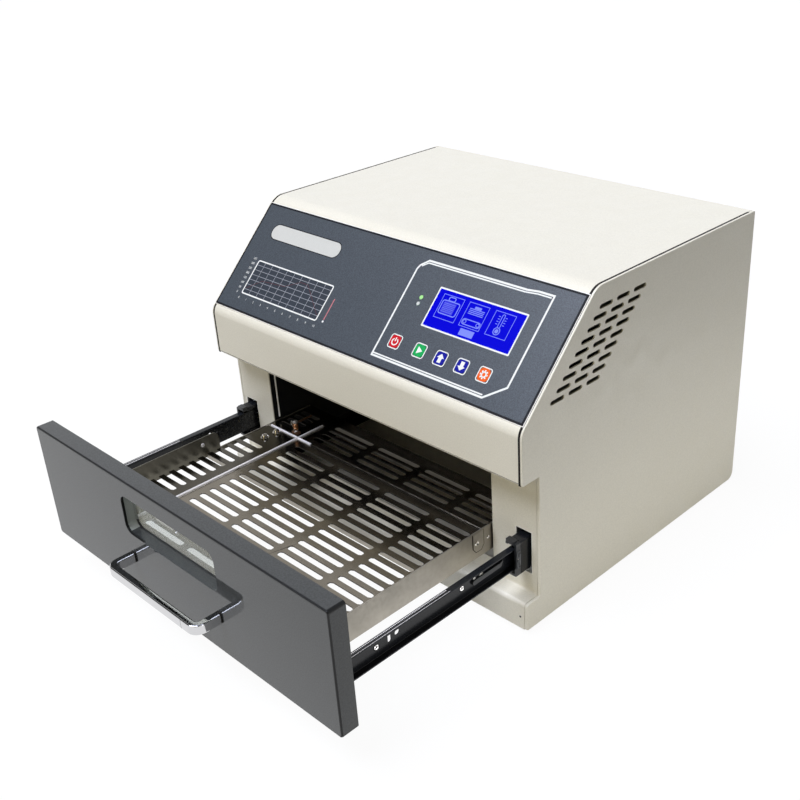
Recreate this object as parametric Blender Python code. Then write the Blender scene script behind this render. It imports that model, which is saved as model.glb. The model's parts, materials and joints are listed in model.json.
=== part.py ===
"""Desktop reflow oven with a pull-out drawer, as separate sub-parts at real size, in metres.

Axes: +Z up, the front looks along -Y, +X is to the right of someone facing it. The origin is
the bottom centre of the box round the whole oven, with the drawer open as it is modelled here.
Most pieces are placed in the cabinet's own frame, an empty whose y is 0 on the face that the
drawer closes against and whose z is 0 on the underside of the sheet metal, above the feet.
"""

import math

import bmesh
import bpy
from mathutils import Matrix, Vector

# Cabinet, from the ground up: plinth, face behind the drawer, nose, slope
WIDTH = 0.430
DEPTH = 0.326
PLINTH_DEPTH = 0.018
PLINTH_HEIGHT = 0.028
FACE_HEIGHT = 0.125
NOSE_DEPTH = 0.022
NOSE_HEIGHT = 0.050
SLOPE_RISE = 0.098
SLOPE = math.radians(45)
NOSE_BEND = 0.014
TOP_BEND = 0.020
SMALL_BEND = 0.002
REAR_CORNER = 0.008
LAP_HEIGHT = 0.022
SHEET = 0.0012
SIDE_SHEET = 0.0015
SIDE_RIM = 0.003
RIM_WIDTH = 0.0026
EDGE_ROUND = 0.0010
TOUCH = 0.0003
COVER_GAP = 0.0005
FLANGE = 0.013

# Feet
FOOT_HEIGHT = 0.004
FOOT_RADIUS = 0.009
FOOT_INSET = 0.032

# Side vents: rows of oblong slots that follow the slope
VENT_COLUMNS = 3
VENT_LENGTH = 0.019
VENT_WIDTH = 0.0042
VENT_PITCH_Y = 0.0242
VENT_PITCH_Z = 0.0081
VENT_FROM_TOP = 0.0196
VENT_FROM_NOSE = 0.0120
VENT_FROM_SLOPE = 0.0320

# Opening of the front frame
COLUMN_WIDTH = 0.0555
SILL_HEIGHT = 0.016
LINTEL = 0.005

# Drawer
OPEN_FACE = 0.234
CLOSED_FACE = 0.0195
FRONT_DEPTH = 0.017
FRONT_SHEET = 0.0015
FRONT_GAP = 0.002
FRONT_EDGE = 0.0014
WINDOW_WIDTH = 0.140
WINDOW_HEIGHT = 0.0395
WINDOW_DROP = 0.017
WINDOW_CORNER = 0.009
WINDOW_DEPTH = 0.011
GLASS_THICK = 0.003
GLASS_LAP = 0.006
GASKET_THICK = 0.002
HANDLE_WIDTH = 0.139
HANDLE_REACH = 0.0274
HANDLE_BAR = 0.0074
HANDLE_HEIGHT = 0.010
HANDLE_DROP = 0.0205
HANDLE_CORNER = 0.011
HANDLE_EDGE = 0.0016

# Tray inside the drawer
TRAY_SIDE_GAP = 0.0016
TRAY_WALL = 0.0012
TRAY_BOTTOM = 0.0545
GRATE_TOP = 0.0797
GRATE_THICK = 0.0010
RIGHT_WALL_TOP = 0.0825
LEFT_WALL_TOP = 0.0975
LEFT_WALL_FROM_ROD = 0.06175
BAR_WIDTH = 0.005
BAR_HEIGHT = 0.0047
SLOT_WIDTH = 0.0060
ROW_PITCH = 0.0117
FIRST_ROW = 0.034
ROW_END = 0.010
BAR_ROWS = (1, 9)
COLUMN_PITCH = 0.0679
COLUMN_LENGTH = 0.0598
COLUMN_MARGIN = 0.0120
REAR_ROWS = 4
REAR_PITCH = 0.0098
ROD_RADIUS = 0.0015
ROD_FROM_LEFT = 0.0529
ROD_FROM_REAR = 0.05925
SIDE_SLOT_MARGIN = 0.0145
SIDE_GAP = 0.0036
RIGHT_SLOT_MARGIN = 0.0026
CLAMP_SIZE = 0.008
CLAMP_HEIGHT = 0.003
PROBE_HEIGHT = 0.014
PROBE_REACH = 0.022
PROBE_RADIUS = 0.0012

# Ball-bearing slides
SLIDE_Z = 0.0705
SLIDE_INSET = 0.0245
OUTER_HEIGHT = 0.0345
OUTER_WIDTH = 0.0125
INNER_HEIGHT = 0.022
INNER_WIDTH = 0.007
INNER_INSET = 0.0025
SLIDE_SHEET = 0.0012
SLIDE_LIP = 0.0032
SLIDE_FROM_REAR = 0.0408
SLIDE_FRONT = 0.0175
CAP_LENGTH = 0.006
CAP_WALL = 0.0024
CAGE_LENGTH = 0.095
CAGE_GAP = 0.0005
HOLE_YS = (0.081, 0.181)
HOLE_RISE = 0.0015
HOLE_RADIUS = 0.0026
UPRIGHT_AHEAD = 0.0085
UPRIGHT_LENGTH = 0.010
UPRIGHT_WIDTH = 0.0036
SLOT_MARGIN = 0.0045
SLOT_SIDE_MARGIN = 0.0025
LEVER_LENGTH = 0.036
LEVER_HEIGHT = 0.005
LEVER_THICK = 0.0018

# Chamber
LINER_DROP = 0.003
REAR_SPACE = 0.0343
REAR_CLEARANCE = 0.0085
LINER_CLEARANCE = 0.0023
BLANKET = 0.018
TUBE_RADIUS = 0.005
TUBE_DROP = 0.018
TUBES = 4
TUBE_END = 0.006
REFLECTOR_DEPTH = 0.008

# Control panel on the slope, measured up the slope from its lower corner
OVERLAY_MARGIN = 0.003
OVERLAY_START = 0.0071
OVERLAY_END = 0.0092
OVERLAY_THICK = 0.0008
DISPLAY_FROM_RIGHT = 0.0470
DISPLAY_WIDTH = 0.1020
DISPLAY_BOTTOM = 0.0519
DISPLAY_HEIGHT = 0.0374
KEY_SIZE = 0.0120
KEY_V = 0.0284
KEYS_FROM_RIGHT = {"red": 0.1688, "green": 0.1372, "up": 0.1112, "down": 0.0856, "orange": 0.0595}
KEY_PROUD = 0.0003
KEY_THICK = 0.0022
KEY_GAP = 0.0003
KEY_TRAVEL = 0.0005
LAMPS_FROM_RIGHT = 0.1658
LAMP_VS = (0.0690, 0.0754)
LAMP_RADIUS = 0.0022
BOARD_THICK = 0.0016
BOARD_DROP = 0.0104
BOARD_MARGIN = 0.012
POST_RADIUS = 0.0024
BEZEL = 0.0028
SWITCH_SIZE = 0.006
SWITCH_HEIGHT = 0.0036

# Rear panel fittings
FAN_FROM_LEFT = 0.105
FAN_DROP = 0.065
FAN_SIZE = 0.080
FAN_DEPTH = 0.025
FAN_BORE = 0.038
HUB_RADIUS = 0.017
BLADES = 7
WIRE = 0.002
GUARD_RADIUS = 0.037
GUARD_PITCH = 0.012
GUARD_RINGS = 3
INLET_FROM_RIGHT = 0.065
REAR_DROP = 0.069
INLET_WIDTH = 0.050
INLET_HEIGHT = 0.028
INLET_DEPTH = 0.022
FITTING_FLANGE = 0.0025
SOCKET_INSET = 0.0135
SOCKET_HALF = 0.012
SOCKET_HEIGHT = 0.016
SOCKET_CHAMFER = 0.005
PIN_SPACING = 0.007
PIN_RISE = 0.002
PIN_THICK = 0.002
PIN_HEIGHT = 0.004
FUSE_WIDTH = 0.009
ROCKER_FROM_INLET = 0.065
ROCKER_WIDTH = 0.012
ROCKER_HEIGHT = 0.0172
ROCKER_TILT = math.radians(10)
ROCKER_PIVOT = 0.0035
ROCKER_FACE = 0.006

# Electronics on the shelf over the chamber
SHELF_GAP = 0.0097
SHELF_START = 0.030
SHELF_MARGIN = 0.043
PARTS_Y = 0.120
BOARD_DEPTH = 0.100
BOARD_FROM_LEFT = 0.133
BOARD_FROM_RIGHT = 0.1534
STANDOFF = 0.008
STANDOFF_RADIUS = 0.003
COIL_WIDTH = 0.035
COIL_DEPTH = 0.052
COIL_HEIGHT = 0.034
CORE_WIDTH = 0.065
CORE_DEPTH = 0.030
CORE_HEIGHT = 0.054
RELAY_WIDTH = 0.045
RELAY_DEPTH = 0.058
RELAY_HEIGHT = 0.024
RELAY_PLATE = 0.006
RELAY_INSET = 0.002

# Fineness of round bends: the largest turn of one step, and how far a chord may leave its arc
ARC_STEP = math.radians(23)
ARC_SAG = 0.00008

HEIGHT = PLINTH_HEIGHT + FACE_HEIGHT + NOSE_HEIGHT + SLOPE_RISE
NOSE_BOTTOM = PLINTH_HEIGHT + FACE_HEIGHT
NOSE_TOP = NOSE_BOTTOM + NOSE_HEIGHT
HALF = WIDTH / 2
INNER_HALF = HALF - SIDE_RIM - COVER_GAP
OPENING_WIDTH = WIDTH - 2 * COLUMN_WIDTH
OPENING_BOTTOM = PLINTH_HEIGHT + SILL_HEIGHT
OPENING_TOP = NOSE_BOTTOM - LINTEL
FRONT_BOTTOM = PLINTH_HEIGHT + FRONT_GAP
FRONT_TOP = NOSE_BOTTOM - FRONT_GAP
WINDOW_BOTTOM = FRONT_TOP - WINDOW_DROP - WINDOW_HEIGHT
HANDLE_BOTTOM = WINDOW_BOTTOM - HANDLE_DROP - HANDLE_HEIGHT
TRAY_HALF = OPENING_WIDTH / 2 - TRAY_SIDE_GAP
PANEL_REAR = DEPTH - SHEET - TOUCH
REAR_FACE = PANEL_REAR - SHEET
LINER_DEPTH = REAR_FACE - BLANKET - REAR_SPACE
TRAY_LENGTH = LINER_DEPTH + CLOSED_FACE - REAR_CLEARANCE
SLIDE_LENGTH = REAR_FACE + SLIDE_FRONT - SLIDE_FROM_REAR
ROD_Y = TRAY_LENGTH - ROD_FROM_REAR
MAIN_ROWS = 1 + int((ROD_Y - ROW_END - FIRST_ROW) / ROW_PITCH)
SIDE_ROWS = MAIN_ROWS - 2
ROD_X = -TRAY_HALF + ROD_FROM_LEFT
FIRST_COLUMN = ROD_X + COLUMN_MARGIN
SIDE_SLOT_END = ROD_X - SIDE_SLOT_MARGIN
TOP_BEND_Y = SLOPE_RISE / math.tan(SLOPE) - NOSE_DEPTH
LINER_TOP = NOSE_BOTTOM - LINER_DROP
SLIDE_X = HALF - SLIDE_INSET
OVERLAY_WIDTH = WIDTH - 2 * OVERLAY_MARGIN
OVERLAY_LENGTH = SLOPE_RISE / math.sin(SLOPE) - OVERLAY_START - OVERLAY_END
PANEL_RIGHT = OVERLAY_WIDTH / 2
DISPLAY_LEFT = PANEL_RIGHT - DISPLAY_FROM_RIGHT - DISPLAY_WIDTH
KEY_XS = {name: PANEL_RIGHT - reach for name, reach in KEYS_FROM_RIGHT.items()}
LAMP_X = PANEL_RIGHT - LAMPS_FROM_RIGHT
FAN_X = -HALF + FAN_FROM_LEFT
FAN_Z = HEIGHT - FAN_DROP
INLET_X = HALF - INLET_FROM_RIGHT
ROCKER_X = INLET_X - ROCKER_FROM_INLET
REAR_Z = HEIGHT - REAR_DROP
SHELF_Z = LINER_TOP + BLANKET + SHELF_GAP
GUARD_REACH = 2 * WIRE
REAR_END = PANEL_REAR + TOUCH + GUARD_REACH
FRONT_END = OPEN_FACE + HANDLE_REACH
ORIGIN_Y = (REAR_END - FRONT_END) / 2


# Materials

def finish(name, color, roughness, metallic=0.0, transmission=0.0):
    """A Principled BSDF material with this colour and finish."""
    material = bpy.data.materials.new(name)
    material.use_nodes = True
    shader = material.node_tree.nodes["Principled BSDF"]
    shader.inputs["Base Color"].default_value = (*color, 1.0)
    shader.inputs["Roughness"].default_value = roughness
    shader.inputs["Metallic"].default_value = metallic
    shader.inputs["Transmission Weight"].default_value = transmission
    return material


# Outlines: lists of (a, b) points, with corners given as (a, b, radius)

def rounded(corners, closed=True):
    """The corners as points, each one with a radius turned into an arc."""
    points = []
    count = len(corners)
    for i, (a, b, radius) in enumerate(corners):
        here = Vector((a, b))
        if radius <= 0 or (not closed and i in (0, count - 1)):
            points.append((a, b))
            continue
        before = (Vector(corners[i - 1][:2]) - here).normalized()
        after = (Vector(corners[(i + 1) % count][:2]) - here).normalized()
        half = before.angle(after) / 2
        centre = here + (before + after).normalized() * (radius / math.sin(half))
        start = here + before * (radius / math.tan(half)) - centre
        turn = math.pi - 2 * half
        sign = 1 if before.x * after.y - before.y * after.x < 0 else -1
        fine = 2 * math.acos(1 - min(ARC_SAG / radius, 0.5))
        steps = max(1, math.ceil(turn / min(max(fine, turn / 6), ARC_STEP)))
        for step in range(steps + 1):
            angle = sign * turn * step / steps
            x = start.x * math.cos(angle) - start.y * math.sin(angle)
            y = start.x * math.sin(angle) + start.y * math.cos(angle)
            points.append((centre.x + x, centre.y + y))
    return points


def sheet_outline(corners, thickness, side=1):
    """A bent sheet's outline. The corners run along its outer face, whose far side lies to the
    right of the path for side 1 and to its left for side -1."""
    count = len(corners)
    runs = []
    for i in range(count - 1):
        step = Vector(corners[i + 1][:2]) - Vector(corners[i][:2])
        runs.append(step.normalized())
    inner = []
    for i, (a, b, radius) in enumerate(corners):
        first = runs[max(i - 1, 0)]
        last = runs[min(i, count - 2)]
        one = Vector((first.y, -first.x)) * side
        two = Vector((last.y, -last.x)) * side
        middle = (one + two).normalized()
        reach = thickness / middle.dot(one)
        turn = (first.x * last.y - first.y * last.x) * side
        bend = radius - thickness if turn < 0 else radius + thickness
        bend = max(bend, thickness / 4) if radius > 0 else 0
        inner.append((a + middle.x * reach, b + middle.y * reach, bend))
    return rounded(corners, False) + list(reversed(rounded(inner, False)))


def rectangle(a0, a1, b0, b1, radius=0.0):
    return rounded([(a0, b0, radius), (a1, b0, radius), (a1, b1, radius), (a0, b1, radius)])


def circle(a, b, radius, sides=16):
    angles = [2 * math.pi * (i + 0.5) / sides for i in range(sides)]
    return [(a + radius * math.cos(t), b + radius * math.sin(t)) for t in angles]


def oblong(a0, a1, b, width, steps=3):
    """A slot along the first axis with round ends."""
    radius = width / 2
    points = []
    for centre, turn in ((a1 - radius, -0.5), (a0 + radius, 0.5)):
        for i in range(steps + 1):
            angle = math.pi * (turn + i / steps)
            points.append((centre + radius * math.cos(angle), b + radius * math.sin(angle)))
    return points


# Meshes

PLACES = {
    "X": lambda a, b, c: (c, a, b),
    "Y": lambda a, b, c: (a, c, b),
    "Z": lambda a, b, c: (a, b, c),
}


def add_prism(bm, outline, axis, start, end):
    """A closed prism over an outline: (y, z) along X, (x, z) along Y or (x, y) along Z."""
    place = PLACES[axis]
    near = [bm.verts.new(place(a, b, start)) for a, b in outline]
    far = [bm.verts.new(place(a, b, end)) for a, b in outline]
    faces = [bm.faces.new(near), bm.faces.new(list(reversed(far)))]
    count = len(outline)
    for i in range(count):
        k = (i + 1) % count
        faces.append(bm.faces.new((near[k], near[i], far[i], far[k])))
    bmesh.ops.recalc_face_normals(bm, faces=faces)
    return faces


def add_box(bm, low, high):
    return add_prism(bm, rectangle(low[0], high[0], low[1], high[1]), "Z", low[2], high[2])


def add_rod(bm, start, end, radius, sides=12, end_radius=None):
    """A round bar, or a cone when it has an end radius."""
    start, end = Vector(start), Vector(end)
    along = end - start
    turn = along.to_track_quat("Z", "Y").to_matrix().to_4x4()
    matrix = Matrix.Translation((start + end) / 2) @ turn
    far = radius if end_radius is None else end_radius
    bmesh.ops.create_cone(
        bm, cap_ends=True, segments=sides, radius1=radius, radius2=far,
        depth=along.length, matrix=matrix,
    )


def add_ring(bm, centre, radius, wire, sides=24):
    """A ring of square wire round the Y axis."""
    inner, outer = radius - wire / 2, radius + wire / 2
    rows = []
    for i in range(sides):
        angle = 2 * math.pi * i / sides
        row = []
        for reach, y in ((inner, -wire / 2), (outer, -wire / 2), (outer, wire / 2), (inner, wire / 2)):
            place = Vector((reach * math.cos(angle), y, reach * math.sin(angle)))
            row.append(bm.verts.new(place + Vector(centre)))
        rows.append(row)
    faces = []
    for i in range(sides):
        one, two = rows[i], rows[(i + 1) % sides]
        for k in range(4):
            faces.append(bm.faces.new((one[k], one[(k + 1) % 4], two[(k + 1) % 4], two[k])))
    bmesh.ops.recalc_face_normals(bm, faces=faces)


def make(name, bm, material, parent, smooth=False):
    """An object from a mesh, in its parent's frame."""
    mesh = bpy.data.meshes.new(name)
    bm.to_mesh(mesh)
    bm.free()
    obj = bpy.data.objects.new(name, mesh)
    bpy.context.scene.collection.objects.link(obj)
    obj.parent = parent
    if material:
        mesh.materials.append(material)
    if smooth:
        mesh.shade_smooth()
        mesh.set_sharp_from_angle(angle=math.radians(40))
    return obj


def helper(name, bm, parent):
    """A hidden shape that another piece is cut or joined with."""
    obj = make(name, bm, None, parent)
    obj.hide_render = True
    obj.display_type = "WIRE"
    return obj


def combine(target, other, operation):
    modifier = target.modifiers.new(other.name, "BOOLEAN")
    modifier.operation = operation
    modifier.solver = "EXACT"
    modifier.object = other


def cut(target, bm):
    combine(target, helper(target.name + "_cutter", bm, target.parent), "DIFFERENCE")


def join(target, bm):
    combine(target, helper(target.name + "_joined", bm, target.parent), "UNION")


def prism(name, outline, axis, start, end, material, parent, smooth=False):
    bm = bmesh.new()
    add_prism(bm, outline, axis, start, end)
    return make(name, bm, material, parent, smooth)


def box(name, low, high, material, parent):
    bm = bmesh.new()
    add_box(bm, low, high)
    return make(name, bm, material, parent)


def empty(name, location, parent=None, rotation=(0, 0, 0)):
    obj = bpy.data.objects.new(name, None)
    bpy.context.scene.collection.objects.link(obj)
    obj.location = location
    obj.rotation_euler = rotation
    obj.parent = parent
    return obj


def soften(obj, width, segments=2):
    """Rounds the sharp edges of a piece."""
    modifier = obj.modifiers.new("edges", "BEVEL")
    modifier.width = width
    modifier.segments = segments
    modifier.limit_method = "ANGLE"
    modifier.angle_limit = math.radians(50)


def mirrored(side, outline):
    """An (x, z) outline as drawn for the right side, or turned over for the left."""
    return [(side * a, b) for a, b in outline]


SIDES = (("left", -1), ("right", 1))


# Cabinet

def cabinet_profile():
    """The side view of the cabinet, as (y, z) corners."""
    return [
        (-PLINTH_DEPTH, 0, SMALL_BEND),
        (-PLINTH_DEPTH, PLINTH_HEIGHT, 2 * SMALL_BEND),
        (0, PLINTH_HEIGHT, SMALL_BEND),
        (0, NOSE_BOTTOM, 0),
        (-NOSE_DEPTH, NOSE_BOTTOM, SMALL_BEND),
        (-NOSE_DEPTH, NOSE_TOP, NOSE_BEND),
        (TOP_BEND_Y, HEIGHT, TOP_BEND),
        (DEPTH, HEIGHT, SMALL_BEND),
        (DEPTH, 0, REAR_CORNER),
    ]


def inset_profile(inset):
    """The cabinet's side view drawn in by the width of the panel's folded rim."""
    rise = math.tan(SLOPE / 2) * inset
    return [
        (-PLINTH_DEPTH + inset, inset, 0),
        (-PLINTH_DEPTH + inset, PLINTH_HEIGHT - inset, 0),
        (inset, PLINTH_HEIGHT - inset, 0),
        (inset, NOSE_BOTTOM + inset, 0),
        (-NOSE_DEPTH + inset, NOSE_BOTTOM + inset, 0),
        (-NOSE_DEPTH + inset, NOSE_TOP - rise, NOSE_BEND - inset),
        (TOP_BEND_Y + rise, HEIGHT - inset, TOP_BEND - inset),
        (DEPTH - inset, HEIGHT - inset, 0),
        (DEPTH - inset, inset, REAR_CORNER - inset),
    ]


def side_panel(name, side, paint, parent):
    """A sheet side with a folded rim all round and rows of vent slots."""
    bm = bmesh.new()
    outside = side * HALF
    add_prism(bm, rounded(cabinet_profile()), "X", side * (HALF - SIDE_RIM), outside)
    rim = [e for e in bm.edges if all(abs(v.co.x - outside) < 1e-6 for v in e.verts)]
    bmesh.ops.bevel(bm, geom=rim, offset=EDGE_ROUND, segments=2, profile=0.5, affect="EDGES")
    panel = make(name, bm, paint, parent)
    pocket = bmesh.new()
    inner = side * (HALF - SIDE_RIM - FOOT_HEIGHT)
    add_prism(pocket, rounded(inset_profile(RIM_WIDTH)), "X", inner, side * (HALF - SIDE_SHEET))
    cut(panel, pocket)
    slots = bmesh.new()
    rows = 1 + int((SLOPE_RISE - VENT_FROM_TOP - VENT_FROM_NOSE) / VENT_PITCH_Z)
    for row in range(rows):
        z = HEIGHT - VENT_FROM_TOP - row * VENT_PITCH_Z
        first = TOP_BEND_Y + VENT_FROM_SLOPE - VENT_FROM_TOP - row * VENT_PITCH_Z / math.tan(SLOPE)
        for column in range(VENT_COLUMNS):
            y = first + column * VENT_PITCH_Y
            outline = oblong(y - VENT_LENGTH / 2, y + VENT_LENGTH / 2, z, VENT_WIDTH)
            add_prism(slots, outline, "X", inner, outside * 1.02)
    cut(panel, slots)
    return panel


def top_cover(paint, parent):
    """One bent sheet: the nose, the slope, the top and a lap over the rear panel."""
    path = [
        (-COVER_GAP, NOSE_BOTTOM, 0),
        (-NOSE_DEPTH, NOSE_BOTTOM, SMALL_BEND),
        (-NOSE_DEPTH, NOSE_TOP, NOSE_BEND),
        (TOP_BEND_Y, HEIGHT, TOP_BEND),
        (DEPTH, HEIGHT, SMALL_BEND),
        (DEPTH, HEIGHT - LAP_HEIGHT, 0),
    ]
    return prism(
        "top_cover", sheet_outline(path, SHEET), "X", -INNER_HALF, INNER_HALF, paint, parent
    )


def front_frame(paint, parent):
    """The plinth and the face behind the drawer, with openings for the tray and the slides."""
    path = [
        (-PLINTH_DEPTH, 0, 0),
        (-PLINTH_DEPTH, PLINTH_HEIGHT, 2 * SMALL_BEND),
        (0, PLINTH_HEIGHT, SMALL_BEND),
        (0, NOSE_BOTTOM + FLANGE, 0),
    ]
    frame = prism(
        "front_frame", sheet_outline(path, SHEET), "X", -INNER_HALF, INNER_HALF, paint, parent
    )
    openings = bmesh.new()
    deep = 4 * SHEET
    half = OPENING_WIDTH / 2
    main = rectangle(-half, half, OPENING_BOTTOM, OPENING_TOP)
    add_prism(openings, main, "Y", -deep, deep)
    low = SLIDE_Z - OUTER_HEIGHT / 2 - SLOT_MARGIN
    high = SLIDE_Z + OUTER_HEIGHT / 2 + SLOT_MARGIN
    near = SLIDE_X - SLOT_SIDE_MARGIN
    far = SLIDE_X + OUTER_WIDTH + SLOT_SIDE_MARGIN
    for _, side in SIDES:
        add_prism(openings, mirrored(side, rectangle(near, far, low, high)), "Y", -deep, deep)
    cut(frame, openings)
    return frame


def rear_panel(paint, parent):
    half = INNER_HALF
    outline = rectangle(-half, half, 2 * SHEET, HEIGHT - SHEET - TOUCH, SMALL_BEND)
    panel = prism("rear_panel", outline, "Y", REAR_FACE, PANEL_REAR, paint, parent)
    holes = bmesh.new()
    start, end = REAR_FACE - SHEET, PANEL_REAR + SHEET
    add_prism(holes, circle(FAN_X, FAN_Z, FAN_BORE, 24), "Y", start, end)
    wide, high = inlet_body()
    add_prism(
        holes,
        rectangle(INLET_X - wide / 2 - TOUCH, INLET_X + wide / 2 + TOUCH,
                  REAR_Z - high / 2 - TOUCH, REAR_Z + high / 2 + TOUCH),
        "Y", start, end,
    )
    wide, high = rocker_body()
    add_prism(
        holes,
        rectangle(ROCKER_X - wide / 2 - TOUCH, ROCKER_X + wide / 2 + TOUCH,
                  REAR_Z - high / 2 - TOUCH, REAR_Z + high / 2 + TOUCH),
        "Y", start, end,
    )
    cut(panel, holes)
    return panel


def base_pan(steel, parent):
    """The bottom sheet with its side edges folded up."""
    path = [
        (-INNER_HALF, FLANGE, 0),
        (-INNER_HALF, 0, SMALL_BEND),
        (INNER_HALF, 0, SMALL_BEND),
        (INNER_HALF, FLANGE, 0),
    ]
    start = -PLINTH_DEPTH + SHEET + TOUCH
    outline = sheet_outline(path, SHEET, -1)
    return prism("base_pan", outline, "Y", start, REAR_FACE - TOUCH, steel, parent)


def foot(name, x, y, rubber, parent):
    bm = bmesh.new()
    add_rod(bm, (x, y, -FOOT_HEIGHT), (x, y, -TOUCH), FOOT_RADIUS * 0.85, 16, FOOT_RADIUS)
    return make(name, bm, rubber, parent, True)


def feet(rubber, parent):
    ys = {"front": FOOT_INSET - PLINTH_DEPTH, "rear": DEPTH - FOOT_INSET}
    for end, y in ys.items():
        for word, side in SIDES:
            foot(f"foot_{end}_{word}", side * (HALF - FOOT_INSET), y, rubber, parent)


# Slides

def outer_path(side, inset=0.0):
    """The C section of the slide's cabinet member, as (x, z) corners, open towards the drawer."""
    top, low = SLIDE_Z + OUTER_HEIGHT / 2 - inset, SLIDE_Z - OUTER_HEIGHT / 2 + inset
    near, far = SLIDE_X, SLIDE_X + OUTER_WIDTH - inset
    return [
        (side * near, top - SLIDE_LIP, 0),
        (side * near, top, SLIDE_SHEET),
        (side * far, top, 1.5 * SLIDE_SHEET),
        (side * far, low, 1.5 * SLIDE_SHEET),
        (side * near, low, SLIDE_SHEET),
        (side * near, low + SLIDE_LIP, 0),
    ]


def inner_path(side):
    top, low = SLIDE_Z + INNER_HEIGHT / 2, SLIDE_Z - INNER_HEIGHT / 2
    web = SLIDE_X + INNER_INSET
    tip = web + INNER_WIDTH
    return [
        (side * tip, top, 0),
        (side * web, top, SLIDE_SHEET),
        (side * web, low, SLIDE_SHEET),
        (side * tip, low, 0),
    ]


def cage_outline(side):
    """The ball retainer: a thin web with a thick ball strip above and below the drawer member."""
    top = SLIDE_Z + OUTER_HEIGHT / 2 - SLIDE_SHEET - CAGE_GAP
    low = 2 * SLIDE_Z - top
    under = SLIDE_Z + INNER_HEIGHT / 2 + CAGE_GAP
    over = 2 * SLIDE_Z - under
    near = SLIDE_X + SLIDE_SHEET + 2 * CAGE_GAP
    far = SLIDE_X + OUTER_WIDTH - SLIDE_SHEET - CAGE_GAP
    web = SLIDE_X + INNER_INSET + INNER_WIDTH + CAGE_GAP
    points = [
        (near, top), (far, top), (far, low), (near, low),
        (near, over), (web, over), (web, under), (near, under),
    ]
    return mirrored(side, points)


def slides(steel, plastic, cabinet, drawer, cages):
    """Both ball-bearing slides: cabinet members with their end caps, ball cages, drawer members
    and release levers, and the brackets that carry them inside the cabinet."""
    front = -SLIDE_FRONT + CAP_LENGTH
    for word, side in SIDES:
        outline = sheet_outline(outer_path(side), SLIDE_SHEET, side)
        prism("slide_outer_" + word, outline, "Y", front + TOUCH,
              SLIDE_LENGTH - SLIDE_FRONT, steel, cabinet)
        outline = sheet_outline(outer_path(side), CAP_WALL, side)
        prism("slide_cap_" + word, outline, "Y", -SLIDE_FRONT, front, plastic, cabinet)
        cage_start = front + 2 * TOUCH
        prism("slide_cage_" + word, cage_outline(side), "Y", cage_start,
              cage_start + CAGE_LENGTH, steel, cages[word])
        outline = sheet_outline(inner_path(side), SLIDE_SHEET, -side)
        start = FRONT_SHEET + TOUCH
        member = prism("slide_inner_" + word, outline, "Y", start, start + SLIDE_LENGTH,
                       steel, drawer)
        cut(member, member_holes(side))
        bracket(word, side, steel, cabinet)


def member_holes(side):
    """Round holes and upright slots through the drawer member's web."""
    bm = bmesh.new()
    web = side * (SLIDE_X + INNER_INSET)
    reach = side * 2 * SLIDE_SHEET
    z = SLIDE_Z + HOLE_RISE
    half = UPRIGHT_LENGTH / 2
    for y in HOLE_YS:
        add_prism(bm, circle(y, z, HOLE_RADIUS, 10), "X", web - reach, web + reach)
        upright = [(y - UPRIGHT_AHEAD + b, z + a) for a, b in oblong(-half, half, 0, UPRIGHT_WIDTH)]
        add_prism(bm, upright, "X", web - reach, web + reach)
    return bm


def lever(name, side, plastic, pivot):
    """A slide's release lever, with its pivot end at the parent's origin."""
    web = SLIDE_X + INNER_INSET + SLIDE_SHEET + TOUCH
    half = LEVER_HEIGHT / 2
    tip = LEVER_LENGTH - half
    outline = rounded([
        (-half, -half, half * 0.9), (tip, -half * 0.7, 0), (tip + half, half, 0),
        (tip + half, half * 1.6, 0), (tip, half, 0), (-half, half, half * 0.9),
    ])
    return prism(name, outline, "X", side * web, side * (web + LEVER_THICK), plastic, pivot)


def bracket(word, side, steel, parent):
    """A bent sheet that stands on the base pan and carries a slide."""
    wall = SLIDE_X + OUTER_WIDTH + TOUCH
    foot_z = SHEET + TOUCH
    path = [
        (side * (wall - FLANGE), foot_z, 0),
        (side * (wall + SHEET), foot_z, SMALL_BEND),
        (side * (wall + SHEET), SLIDE_Z + OUTER_HEIGHT / 2 + SLOT_MARGIN, 0),
    ]
    outline = sheet_outline(path, SHEET, -side)
    return prism("slide_bracket_" + word, outline, "Y", SHEET + TOUCH,
                 SLIDE_LENGTH - SLIDE_FRONT, steel, parent)


# Chamber

def chamber_half():
    return OPENING_WIDTH / 2 + LINER_CLEARANCE


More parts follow.
